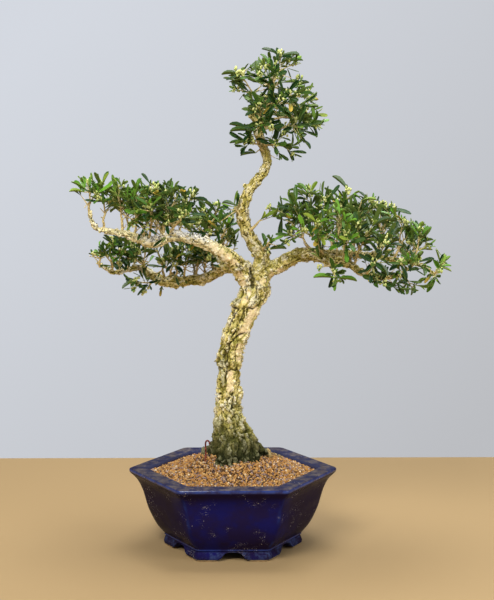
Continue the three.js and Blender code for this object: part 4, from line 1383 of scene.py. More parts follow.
grains = 0
rows = int(2 * SOIL_REACH / GRAIN_STEP)
for i in range(rows):
    for j in range(rows):
        px = (i + 0.5 * (j % 2) - rows / 2 + GRAIN_STRAY * (chance(i, j, 1) - 0.5)) * GRAIN_STEP
        py = (j - rows / 2 + GRAIN_STRAY * (chance(i, j, 2) - 0.5)) * GRAIN_STEP
        size = between(GRAIN_SIZE, chance(i, j, 3) ** 1.8)
        in_crown = math.hypot(px, py - CROWN_Y) < CROWN_REACH
        if in_crown or not inside_hexagon(px, py, SOIL_REACH - size / 2):
            continue
        lift = 0.3 + 0.9 * (chance(i, j, 4) - 0.5)
        from_heap = math.hypot(px - HEAP_PLACE[0], py - HEAP_PLACE[1])
        heap = HEAP_HEIGHT * (1 - smoothstep(*HEAP_REACH, from_heap))
        for level in range(1 + round(heap / GRAIN_LAYER)):
            top = soil_height(px, py) - 0.5 + lift + level * GRAIN_LAYER
            add_grain(bm, grain_shapes[grains % GRAIN_SHAPES], (px, py, top), size, i, j + 500 * level)
            grains += 1
soil_mesh = mesh_from(bm, "soil")
print("grains:", grains)

# %% [markdown]
# ### Colour of the grit
#
# Each grain carries its own random number in an attribute. A constant colour ramp turns it into a kind of
# stone: mostly ochre baked clay, some violet-grey lava, a few dark and a few bleached ones.

# %% Grit material
SOIL_DARK = seen_as(84, 58, 36)
# Where each kind of stone begins on the ramp, and its colour
KINDS = [
    (0.0, seen_as(100, 72, 42)),
    (0.08, seen_as(188, 138, 76)),
    (0.3, seen_as(204, 158, 94)),
    (0.52, seen_as(172, 122, 64)),
    (0.7, seen_as(214, 176, 120)),
    (0.76, seen_as(150, 128, 122)),
    (0.85, seen_as(172, 148, 134)),
    (0.91, seen_as(104, 86, 84)),
    (0.97, seen_as(232, 210, 176)),
]
grit = Paint("baked_clay_grit", specular_ior_level=0.25)
kind, shade, is_grain = grit.attribute("tint").parts()
ramp = grit.node("ValToRGB", None, {"Fac": kind})
stops = ramp.socket.node.color_ramp
stops.interpolation = "CONSTANT"
for number, (place, kind_colour) in enumerate(KINDS):
    stop = stops.elements[number] if number < 2 else stops.elements.new(place)
    stop.position = place
    stop.color = (*kind_colour, 1)
where = grit.millimetres()
pores = grit.noise(where, 0.7, 3, 0.7)
damp = grit.noise(where, 16, 2).rise(0.5, 0.7) * 0.15
darker = (1 - is_grain) * 0.6 + 0.22 * shade + 0.22 * pores.rise(0.6, 0.35) + damp
colour = grit.mix(darker, ramp, SOIL_DARK)
grit.set(base_color=colour, roughness=0.85 + 0.1 * pores, normal=grit.bump(pores, 0.0003))
finish(soil_mesh, "soil_and_grit", [grit], ["soil"])

# %% [markdown]
# ## Leaves
#
# A leaf of this boxwood is leathery, 15 to 20 mm long and a quarter as wide, with a rounded tip and a
# narrow foot. It starts as a flat grid. Each row is drawn in to the leaf's outline, the halves fold up
# along the midrib, and the blade bends. Solidify then gives it its thickness. Four blades with different
# folds are enough, because each copy is turned, scaled and tinted on its own.

# %% Leaf shapes
# Share of the length, and half breadth as a share of the full width
LEAF_OUTLINE = [(0, 0.06), (0.12, 0.12), (0.32, 0.32), (0.54, 0.46), (0.74, 0.5), (0.91, 0.36), (1.0, 0.12)]
# Fold of the halves, and bend along the length
LEAF_HABITS = [(0.3, 0.1), (0.14, 0.04), (0.44, 0.18), (0.05, -0.05)]
LEAF_THICKNESS = 0.028
LEAF_NOTCH = 0.03


def leaf_shape(fold, bend):
    """A leaf of length 1 and width 1, growing along Y with its face towards Z."""
    bm = bmesh.new()
    rows = len(LEAF_OUTLINE) - 1
    bmesh.ops.create_grid(bm, x_segments=2, y_segments=rows, size=1)
    blade = bm.verts.layers.float_color.new("blade")
    bm.verts.layers.float_color.new("tint")
    for vert in bm.verts:
        side = vert.co.x
        share, half = LEAF_OUTLINE[round((vert.co.y + 1) / 2 * rows)]
        notch = LEAF_NOTCH * (1 - abs(side)) if share == 1 else 0
        vert.co = (side * half, share - notch, fold * abs(side) * half - bend * share**2)
        vert[blade] = (abs(side), share, 0, 1)
    bmesh.ops.solidify(bm, geom=bm.faces[:], thickness=LEAF_THICKNESS)
    bmesh.ops.recalc_face_normals(bm, faces=bm.faces)
    for face in bm.faces:
        if face.normal.z < -0.3:
            for vert in face.verts:
                vert[blade] = (vert[blade][0], vert[blade][1], 1, 1)
    return mesh_from(bm, "leaf")


leaf_shapes = [leaf_shape(*habit) for habit in LEAF_HABITS]
print("leaf:", len(leaf_shapes[0].polygons), "faces")

# %% [markdown]
# ### Where the shoots grow
#
# Each spray of the CAD part has a root on its limb and the tips of its shoots. The same plan is worked out
# here, so every shoot of the fine tree runs along a shoot of the CAD one. Scattering leaves over a ball
# would be quicker, but leaves on real stems leave the see-through gaps that make a tree look grown. A few
# inner sprays are added, which fill the tangle between the two left-hand limbs.

# %% Sprays
# The place where a spray leaves its limb, and the tips of its shoots
SPRAYS = {
    "apex_01": [(39, 6, 452), (46, 0, 475), (58, 8, 468), (36, 12, 466)],
    "apex_02": [(32, 6, 430), (7, -8, 458), (5, 10, 443)],
    "apex_03": [(36, 6, 441), (26, -24, 456), (40, -26, 455)],
    "apex_04": [(36, 7, 439), (29, 32, 453), (48, 34, 451)],
    "apex_05": [(32, 6, 428), (51, -32, 440), (40, -42, 429), (63, -22, 429)],
    "apex_06": [(34, 6, 435), (72, 4, 435), (63, 8, 453)],
    "apex_07": [(26, 5, 416), (78, 8, 420), (66, 28, 417)],
    "apex_08": [(25, 5, 405), (79, -8, 411), (60, -28, 408)],
    "apex_09": [(31, 5, 384), (18, -12, 409), (13, -6, 394)],
    "apex_10": [(25, 5, 407), (35, -38, 408), (25, -36, 427)],
    "apex_11": [(28, 5, 391), (55, -2, 389), (41, -26, 393)],
    "apex_12": [(27, 5, 418), (48, 40, 420), (27, 40, 426)],
    "right_01": [(78, -4, 286), (48, -8, 328), (60, -14, 335), (54, -24, 308)],
    "right_02": [(84, -5, 285), (73, 8, 348), (63, 14, 324), (91, -12, 341)],
    "right_03": [(88, -5, 284), (79, -46, 319), (68, -34, 312)],
    "right_04": [(99, -7, 280), (110, 2, 345), (100, 16, 335)],
    "right_05": [(106, -7, 279), (108, -56, 305), (100, -40, 326)],
    "right_06": [(111, -8, 277), (133, -4, 337), (120, -16, 332)],
    "right_07": [(140, 18, 283), (154, 14, 330), (145, 32, 323)],
    "right_08": [(116, -8, 274), (117, -38, 316), (131, -34, 316)],
    "right_09": [(128, -8, 268), (145, -46, 305), (131, -50, 284)],
    "right_10": [(157, 17, 279), (163, 0, 318), (173, 20, 306)],
    "right_11": [(174, 12, 278), (181, 4, 310), (189, 10, 293)],
    "right_12": [(194, 3, 267), (206, 2, 280), (198, -12, 272)],
    "right_13": [(158, -10, 267), (171, -14, 256), (158, -42, 283), (175, -26, 281)],
    "right_14": [(145, -10, 265), (153, -26, 257), (135, -36, 265)],
    "right_15": [(95, -7, 281), (97, -28, 266), (83, -24, 276)],
    "right_16": [(97, 4, 287), (84, 42, 321), (99, 54, 308)],
    "right_17": [(116, 12, 285), (116, 44, 328), (126, 60, 302)],
    "right_18": [(136, 18, 283), (153, 54, 312), (163, 54, 296)],
    "right_19": [(165, 16, 278), (185, 36, 295), (175, 46, 280)],
    "left_01": [(-133, -39, 330), (-134, -38, 356), (-126, -50, 347)],
    "left_02": [(-120, -40, 313), (-121, -42, 353), (-113, -32, 338)],
    "left_03": [(-104, -41, 310), (-106, -44, 352), (-102, -24, 342)],
    "left_04": [(-92, -41, 306), (-89, -46, 349), (-81, -28, 344), (-89, -64, 329)],
    "left_05": [(-77, -40, 301), (-71, -48, 352), (-76, -62, 335)],
    "left_06": [(-68, -40, 303), (-60, -38, 350), (-50, -54, 347)],
    "left_07": [(-60, -39, 306), (-38, -42, 343), (-42, -62, 329)],
    "left_08": [(-97, -41, 308), (-96, -8, 341), (-108, -4, 333)],
    "left_09": [(-71, -40, 301), (-65, -4, 341), (-79, 2, 333)],
    "left_10": [(-49, -37, 306), (-44, -10, 332), (-54, 4, 319)],
    "low_01": [(-132, 48, 271), (-137, 46, 283), (-125, 36, 290)],
    "low_02": [(-114, 50, 265), (-122, 66, 279), (-106, 26, 288)],
    "low_03": [(-72, 46, 257), (-97, 32, 256), (-86, 40, 247)],
    "low_04": [(-86, 49, 264), (-85, 30, 292), (-97, 32, 278)],
    "low_05": [(-61, 43, 255), (-54, 24, 284), (-69, 28, 276)],
    "low_06": [(-98, 50, 268), (-103, 66, 295), (-94, 80, 284)],
    "low_07": [(-39, 36, 257), (-30, 58, 282), (-45, 64, 284)],
    "back_01": [(-25, 38, 288), (-14, 42, 331), (-25, 50, 320)],
    "back_02": [(-17, 31, 285), (1, 30, 323), (-6, 18, 312)],
    "back_03": [(-37, 45, 292), (-29, 66, 313), (-41, 60, 303)],
    "back_04": [(-11, 25, 281), (-5, 50, 298), (5, 38, 289)],
    "leader_01": [(10, -1, 320), (1, -11, 333)],
    "leader_02": [(15, 1, 308), (27, -13, 321)],
    "leader_03": [(25, 4, 289), (36, -9, 300)],
}
INNER = {
    "low": [
        [(-56, 42, 258), (-52, 30, 288), (-60, 20, 279)],
        [(-38, 36, 261), (-34, 26, 288), (-29, 40, 279)],
        [(-20, 28, 266), (-17, 36, 284), (-24, 34, 288)],
        [(-68, 45, 258), (-74, 26, 290), (-66, 34, 280)],
        [(-104, 50, 268), (-108, 32, 294), (-98, 34, 286)],
        [(-120, 49, 266), (-117, 30, 291), (-126, 40, 282)],
        [(-48, 39, 260), (-42, 22, 286), (-50, 28, 275)],
        [(-28, 32, 262), (-24, 20, 281), (-31, 44, 276)],
        [(-9, 21, 272), (-13, 26, 286), (-20, 40, 281)],
    ],
    "back": [
        [(-8, 22, 284), (-12, 30, 306), (-3, 30, 298)],
        [(-22, 36, 290), (-33, 44, 310), (-20, 52, 312)],
    ],
    "left": [
        [(-84, -41, 305), (-86, -30, 326), (-77, -50, 322)],
        [(-56, -40, 309), (-52, -26, 328), (-60, -46, 324)],
        [(-66, -40, 304), (-74, -44, 322), (-62, -34, 319)],
    ],
}
INNER_LEAFY = 0.7
print("sprays:", len(SPRAYS), "and", sum(len(group) for group in INNER.values()), "inner ones")

# %% [markdown]
# Boxwood leaves start yellow-green and grow dark. The photograph shows which sprays are fresh and which are
# old, so each has its youth here, and its own shoots differ a little from it.

# %% Youth of the sprays
USUAL_YOUTH = 0.3
YOUTH_SHARE = 0.75
# From dark 0 to fresh 1
YOUTH = {
    "left_01": 0.9, "left_02": 0.45, "left_03": 0.7, "left_04": 0.85, "left_05": 0.4, "left_06": 0.1,
    "left_07": 0.0, "left_08": 0.5, "left_10": 0.0, "right_02": 0.35, "right_03": 0.9, "right_05": 0.95,
    "right_06": 0.1, "right_07": 0.2, "right_09": 0.0, "right_10": 0.7, "right_11": 0.6, "right_12": 0.9,
    "right_13": 0.2, "right_14": 0.1, "right_15": 0.2,
    "apex_02": 0.2, "apex_05": 0.1, "apex_06": 0.4, "apex_07": 0.6, "apex_08": 0.1,
    "apex_09": 0.0, "apex_10": 0.05, "apex_11": 0.25, "low_01": 0.9, "low_02": 0.6,
    "low_03": 0.1, "low_04": 0.2, "low_05": 0.2, "low_06": 0.5, "low_07": 0.1, "leader_01": 0.5,
    "leader_02": 0.5, "leader_03": 0.6,
}

# %% [markdown]
# A spray has one twig that forks. The shoot that goes on most nearly straight is the main one, and the
# others leave the fork at its sides, each on a side of its own, as shoots from a pair of buds do.

# %% Plan of a spray
FORK_SHARE = 0.45
LONE_FORK_SHARE = 0.8
FORK_STEP_OUT = 1.2
FORK_STEP_ON = 3
LONE_AIM = Vector((1, 0.3, 0.2))
FLOWER_SHARE = 0.5
SHOOTS_PER_SPRAY = 5


class Shoot:
    """A leafy stem from a start to a tip, with the directions that its leaf pairs stand out in."""

    def __init__(self, start, tip, sideways, seed):
        self.start = start
        self.tip = tip
        self.direction = (tip - start).normalized()
        self.across = square_to(self.direction, sideways)
        self.face = self.direction.cross(self.across)
        self.seed = seed
        self.youth = smoothstep(0.35, 0.8, chance(seed, 41, 5))
        self.flowering = False

    def normals(self):
        """The four ways in which leaves stand out, a quarter turn apart."""
        return [-self.face, self.across, self.face, -self.across]


def plan_spray(places, number):
    """The twig's root and fork, and its shoots."""
    root, *tips = [Vector(place) for place in places]
    middle = sum(tips, Vector()) / len(tips)
    fork = root.lerp(middle, FORK_SHARE if len(tips) > 1 else LONE_FORK_SHARE)
    twig = (fork - root).normalized()
    tips.sort(key=lambda tip: -(tip - fork).normalized().dot(twig))
    others = tips[1:]
    aim = (others[0] - fork).normalized() if others else LONE_AIM
    main = Shoot(fork, tips[0], aim, number * SHOOTS_PER_SPRAY)
    shoots = [main]
    free = dict(enumerate(main.normals()))
    for j, tip in enumerate(others, 1):
        straight = (tip - fork).normalized()
        side = max(free, key=lambda key: free[key].dot(straight))
        start = fork + free.pop(side) * FORK_STEP_OUT + straight * FORK_STEP_ON
        direction = (tip - start).normalized()
        face = square_to(direction, main.direction)
        shoots.append(Shoot(start, tip, face.cross(direction), number * SHOOTS_PER_SPRAY + j))
    for j, shoot in enumerate(shoots):
        shoot.flowering = chance(number, j, 9) < FLOWER_SHARE
    return root, fork, shoots


# %% [markdown]
# ### Outline of the foliage
#
# A bonsai is clipped, so its pads have a shape. Each outline is a few corners as the camera sees them. A
# leaf whose tip would leave all outlines is not grown, as if it had been clipped, nor is one that would
# close a gap through which the backdrop or the wood shows.

# %% Outlines
# Pixels round the apex, the right pad, the left pad, the low pad, the foot of the leader and the right fork
OUTLINES = [
    [
        (260, 44), (302, 50), (305, 60), (300, 72), (312, 78), (322, 96), (332, 118), (320, 140),
        (312, 152), (295, 163), (270, 158), (250, 162), (236, 156), (226, 143), (226, 118), (243, 115),
        (240, 104), (228, 96), (218, 72), (240, 66), (258, 56),
    ],
    [
        (262, 206), (276, 198), (296, 180), (320, 178), (330, 172), (338, 172), (350, 186), (384, 195),
        (412, 212), (414, 218), (432, 223), (436, 238), (448, 252), (456, 266), (453, 274), (442, 285),
        (432, 291), (411, 296), (386, 294), (366, 284), (358, 284), (336, 295), (312, 275), (326, 264),
        (316, 256), (300, 246), (284, 241), (276, 222), (262, 212),
    ],
    [
        (67, 190), (72, 177), (84, 173), (108, 170), (118, 176), (140, 170), (156, 180), (174, 177),
        (188, 185), (197, 183), (203, 198), (218, 197), (230, 204), (232, 212), (240, 225), (240, 250),
        (205, 246), (160, 240), (128, 235), (120, 212), (84, 212), (76, 200),
    ],
    [
        (88, 252), (95, 243), (102, 233), (130, 236), (170, 240), (205, 246), (225, 258), (222, 270),
        (200, 283), (160, 297), (140, 297), (119, 290), (122, 280), (105, 270), (88, 262),
    ],
    [(234, 189), (242, 189), (246, 215), (232, 212)],
    [(258, 228), (272, 232), (290, 240), (290, 252), (262, 258)],
]
# Where the backdrop or the wood shows through a pad: a pixel, and the reach of the gap in pixels
GAPS = [
    (270.8, 133.3, 4), (286.6, 121.4, 2.4), (285, 86, 3), (276.5, 90.8, 2.6), (308.4, 111, 2.6),
    (309, 103, 2.6), (249.6, 83.4, 2), (251.5, 118.5, 4.5), (261, 134, 3), (263, 146, 3), (113, 219.6, 5.5),
    (97.5, 208.5, 4), (125.4, 218.2, 2.4), (135, 227.6, 3), (152, 223, 2.6), (149.7, 232.6, 2.6),
    (176.3, 229, 3), (159.4, 253.3, 4), (186.6, 249.7, 3), (175.2, 264.2, 3), (188.4, 269, 4),
    (199.4, 269, 4), (96.4, 238.8, 3), (144.8, 254.6, 2.2), (334.2, 227.5, 2.4), (310.3, 243, 2.6),
    (332.8, 248.6, 2), (362, 265, 3), (346.8, 267, 3.6), (398.6, 252.8, 2.4), (403, 237.3, 2.2),
    (404.3, 243.4, 2.2), (422.6, 257, 2.6), (297.7, 226, 2), (340, 256, 3), (326, 258, 3.4),
]
print("outlines:", len(OUTLINES), "gaps:", len(GAPS))

# %% Inside and outside
def in_gap(point):
    """Whether a point shows in one of the gaps."""
    spot = in_picture(point)
    return any((spot - Vector((x, y))).length < reach for x, y, reach in GAPS)


def around(outline, spot):
    """Whether an outline runs round a spot: a ray from the spot crosses it an odd number of times."""
    crossings = 0
    for (x, y), (next_x, next_y) in zip(outline, outline[1:] + outline[:1]):
        if (y > spot.y) != (next_y > spot.y) and spot.x < x + (next_x - x) * (spot.y - y) / (next_y - y):
            crossings += 1
    return crossings % 2 == 1


def unclipped(point):
    """Whether a point shows inside one of the outlines."""
    return any(around(outline, in_picture(point)) for outline in OUTLINES)


# %% [markdown]
# ### Growing one pad of foliage
#
# A pad is one piece: all twigs, stems, leaves and buds of a group of sprays. Leaves stand in pairs, each
# pair turned a quarter round from the next, as on all boxwood. Thin side shoots grow from the axils and
# fill the pad. Everything keeps within the CAD model's box.

# %% One leaf
BOX_MARGIN = 0.3
GAP_TESTS = (0.35, 0.65, 0.95)
box_low, box_high = (TO_METRES.inverted() @ Vector(corner) for corner in cad_box)


def keeps_inside(point):
    """Whether a point lies inside the CAD box by a small margin."""
    limits = zip(box_low, point, box_high)
    return all(low + BOX_MARGIN < value < high - BOX_MARGIN for low, value, high in limits)


def add_leaf(bm, root, along, face, length, width, youth, seed):
    """Adds one blade if it keeps inside the CAD box and the outlines, and gives 1 if it did."""
    tip = root + along * length * 1.02
    if not (keeps_inside(tip) and unclipped(tip)):
        return 0
    if any(in_gap(root.lerp(tip, share)) for share in GAP_TESTS):
        return 0
    turn = Matrix((along.cross(face), along, face)).transposed().to_4x4()
    size = Matrix.Diagonal((width, length, length * 0.5 + width, 1))
    shape = leaf_shapes[int(chance(seed, 5, 4) * len(leaf_shapes))]
    tint = (youth, chance(seed, 6, 4), chance(seed, 7, 4))
    add_copy(bm, shape, Matrix.Translation(root) @ turn @ size, tint)
    return 1


# %% Leaf pairs
LEAF_LENGTH = (13, 20)
LEAF_WIDTH = (3.4, 5.0)
LEAF_PAIR_SPACING = 7.5
# For each pair from the tip down: its angle to the stem in degrees, and the share of its leaves that is left
LEAF_SPREAD = (36, 56, 62, 68, 72)
LEAF_KEPT = (1.0, 0.96, 0.85, 0.65, 0.45)
# The young leaves at the tip
TIP_SPREAD = 20
TIP_SIZE = (0.4, 0.65)
LEAF_TWIST = 24
LEAF_SWAY = 18
LEAF_LIFT = Vector((0, 0, 0.15))
STEM_RADIUS = 0.55


def add_pairs(bm, shoot, pairs, scale, leafy=1.0):
    """Leaf pairs down a shoot from its tip, and two young leaves that close over the tip."""
    grown = 0
    length = (shoot.tip - shoot.start).length
    for pair in range(-1, pairs):
        away = max(pair, 0) * LEAF_PAIR_SPACING * scale
        if pair > 0 and length < away + 2.5:
            break
        node = shoot.tip - shoot.direction * away
        young = pair < 0
        for side in (0, 2) if pair % 2 else (1, 3):
            seed = shoot.seed * 8 + pair * 4 + side
            if chance(seed, 8, 4) > (1 if young else LEAF_KEPT[pair]) * leafy:
                continue
            outwards = shoot.normals()[side]
            turn = math.radians(LEAF_TWIST * (chance(seed, 4, 4) - 0.5))
            usual_spread = TIP_SPREAD if young else LEAF_SPREAD[pair]
            spread = math.radians(usual_spread + LEAF_SWAY * (chance(seed, 1, 4) - 0.5))
            out = Matrix.Rotation(turn, 3, shoot.direction) @ outwards
            along = shoot.direction * math.cos(spread) + out * math.sin(spread)
            face = square_to(along, shoot.direction + LEAF_LIFT)
            grade = scale * (between(TIP_SIZE, chance(seed, 9, 4)) if young else 1)
            size = between(LEAF_LENGTH, chance(seed, 2, 4)) * grade
            width = between(LEAF_WIDTH, chance(seed, 3, 4)) * grade
            age = min(max(shoot.youth + (0.35 if young else -0.25 * pair), 0), 1)
            grown += add_leaf(bm, node + outwards * STEM_RADIUS * 0.5, along, face, size, width, age, seed)
    return grown


# %% Twigs and stems
STEM_STEPS = 3
STEM_SIDEWAYS = Vector((0.31, 0.27, 0.9))
TWIG_JOINT = 6


def add_stem(bm, points, radii, ages, sides):
    """A thin stem through a few points. Its age runs from green 0 to woody 1."""
    frames = carried_frames(stations_along(points, STEM_STEPS), STEM_SIDEWAYS)
    thick = tapered(np.linspace(*radii, len(points)).tolist(), STEM_STEPS)
    swept = sweep(frames, thick, sides)
    swept.verts.layers.float_color.new("blade")
    layer = swept.verts.layers.float_color.new("tint")
    for number, vert in enumerate(swept.verts):
        vert[layer] = (between(ages, (number // sides) / (len(frames) - 1)), 0.5, 0, 1)
    for face in swept.faces:
        face.material_index = 1
    pour(bm, mesh_from(swept, "stem"))


def crooked(start, end, seed, amount):
    """Points from start to end that wander a little, as a twig that was pruned each year does."""
    count = max(2, round((end - start).length / TWIG_JOINT))
    points = [start.lerp(end, i / count) for i in range(count + 1)]
    for i in range(1, count):
        points[i] += Vector([chance(seed, i, k) - 0.5 for k in (21, 22, 23)]) * 2 * amount
    return points


# %% Buds
BUD_SIZE = (0.8, 1.45)
BUD_SPREAD = 5
BUD_RISE = 2.8
BUD_STRETCH = 1.3


def bud_shape():
    """A small ball of radius 1, with the same attributes as a leaf."""
    bm = bmesh.new()
    bmesh.ops.create_icosphere(bm, subdivisions=1, radius=1)
    for layer_name in ("blade", "tint"):
        bm.verts.layers.float_color.new(layer_name)
    for face in bm.faces:
        face.material_index = 2
    return mesh_from(bm, "bud")


bud_ball = bud_shape()
print("bud:", len(bud_ball.polygons), "faces")


def add_buds(bm, place, direction, count, seed):
    """A cluster of flower buds like small beads."""
    for i in range(count):
        out = Vector([chance(seed, i, k) - 0.5 for k in (31, 32, 33)]) * BUD_SPREAD
        size = between(BUD_SIZE, chance(seed, i, 34))
        spot = place + out + direction * BUD_RISE * chance(seed, i, 35)
        if keeps_inside(spot + Vector((size, size, size))):
            matrix = Matrix.Translation(spot) @ Matrix.Diagonal((size, size, size * BUD_STRETCH, 1))
            add_copy(bm, bud_ball, matrix, (1, chance(seed, i, 36), 0))


# %% Side shoots
SIDE_SHOOT_STEP = 6.5
SIDE_LENGTH = (6, 14)
SIDE_LEAN = (0.7, 1.7)
SIDE_LIFT = Vector((0, 0, 0.3))
SIDE_OWN_YOUTH = 0.25
SIDE_FLOWER_SHARE = 0.36
SPIRAL = 0.382


def side_shoots(shoot):
    """Short shoots from the axils of a longer one, in a spiral round it."""
    length = (shoot.tip - shoot.start).length
    count = max(2, round(length / SIDE_SHOOT_STEP))
    for i in range(count):
        seed = shoot.seed * 3 + i * 11 + 400
        away = 3.5 + (length - 3) * (i + 0.8 * chance(seed, 1, 8)) / count
        if away > length - 0.5:
            continue
        start = shoot.tip - shoot.direction * away
        turn = FULL_TURN * (SPIRAL * i + chance(seed, 2, 8))
        out = Matrix.Rotation(turn, 3, shoot.direction) @ shoot.across
        lean = between(SIDE_LEAN, chance(seed, 3, 8))
        direction = (shoot.direction + out * lean + SIDE_LIFT).normalized()
        tip = start + direction * between(SIDE_LENGTH, chance(seed, 4, 8))
        side = Shoot(start, tip, shoot.direction, seed)
        if not unclipped(side.tip):
            continue
        side.youth = between((shoot.youth, side.youth), SIDE_OWN_YOUTH)
        side.flowering = chance(seed, 5, 8) < SIDE_FLOWER_SHARE
        yield side


# %% Twiglets
TWIGLETS = 4
TWIGLET_LENGTH = (5, 15)
TWIGLET_LIFT = Vector((0, 0, 0.12))
TWIGLET_SIDEWAYS = Vector((0.2, 0.9, 0.3))
TWIGLET_YOUTH = 0.4
TWIGLET_LEAFY_SHARE = 0.6


def add_twiglets(bm, twig, number):
    """Thin bare or nearly bare twigs that leave a twig at all angles and tangle with their neighbours."""
    for i in range(TWIGLETS):
        seed = number * 7 + i * 3 + 900
        k = 1 + int(chance(seed, 1, 62) * (len(twig) - 1.01))
        out = Vector([chance(seed, n, 63) - 0.5 for n in range(3)]) + TWIGLET_LIFT
        end = twig[k] + out.normalized() * between(TWIGLET_LENGTH, chance(seed, 2, 62))
        if not (keeps_inside(end) and unclipped(end)):
            continue
        add_stem(bm, crooked(twig[k], end, seed, 0.9), (0.6, 0.3), (1, 0.8), 4)
        tip = Shoot(twig[k], end, TWIGLET_SIDEWAYS, seed)
        tip.youth *= TWIGLET_YOUTH
        if chance(seed, 3, 62) < TWIGLET_LEAFY_SHARE:
            add_pairs(bm, tip, 1, between((0.4, 0.75), chance(seed, 4, 62)))


# %% [markdown]
# One spray is put together from all of these. Its twig starts a little way inside the limb, so the joint is
# closed. The ends of twigs and stems that follow are given as two radii and two ages, at the start and at
# the tip.

# %% One spray
TWIG_RADIUS = (1.2, 1.9)
TWIG_END_RADIUS = 0.95
TWIG_INSIDE = 1.5
TWIG_WANDER = 1.3
SHOOT_WANDER = 0.45
SHOOT_BUDS = 11
SIDE_BUDS = 8


def grow_spray(bm, stems, places, number, youth=USUAL_YOUTH, leafy=1.0):
    """One whole spray. Notes its stems, and gives the number of its leaves."""
    root, fork, shoots = plan_spray(places, number)
    stems += [(root, fork)] + [(fork, shoot.tip) for shoot in shoots]
    inside = root - (fork - root).normalized() * TWIG_INSIDE
    twig = crooked(inside, fork, number * SHOOTS_PER_SPRAY, TWIG_WANDER)
    add_stem(bm, twig, (between(TWIG_RADIUS, chance(number, 1, 61)), TWIG_END_RADIUS), (1, 1), 7)
    add_twiglets(bm, twig, number)
    leaves = 0
    for shoot in shoots:
        shoot.youth = between((shoot.youth, youth), YOUTH_SHARE)
        add_stem(bm, crooked(fork, shoot.tip, shoot.seed + 77, SHOOT_WANDER), (0.85, 0.4), (1, 0.15), 5)
        leaves += add_pairs(bm, shoot, len(LEAF_KEPT), 1.0, leafy)
        if shoot.flowering:
            add_buds(bm, shoot.tip, shoot.direction, SHOOT_BUDS, shoot.seed)
        for side in side_shoots(shoot):
            middle = side.start.lerp(side.tip, 0.5)
            add_stem(bm, [side.start, middle, side.tip], (0.5, 0.3), (0.75, 0.1), 4)
            leaves += add_pairs(bm, side, 2, between((0.55, 0.95), chance(side.seed, 6, 8)), leafy)
            if side.flowering:
                add_buds(bm, side.tip, side.direction, SIDE_BUDS, side.seed)
    return leaves
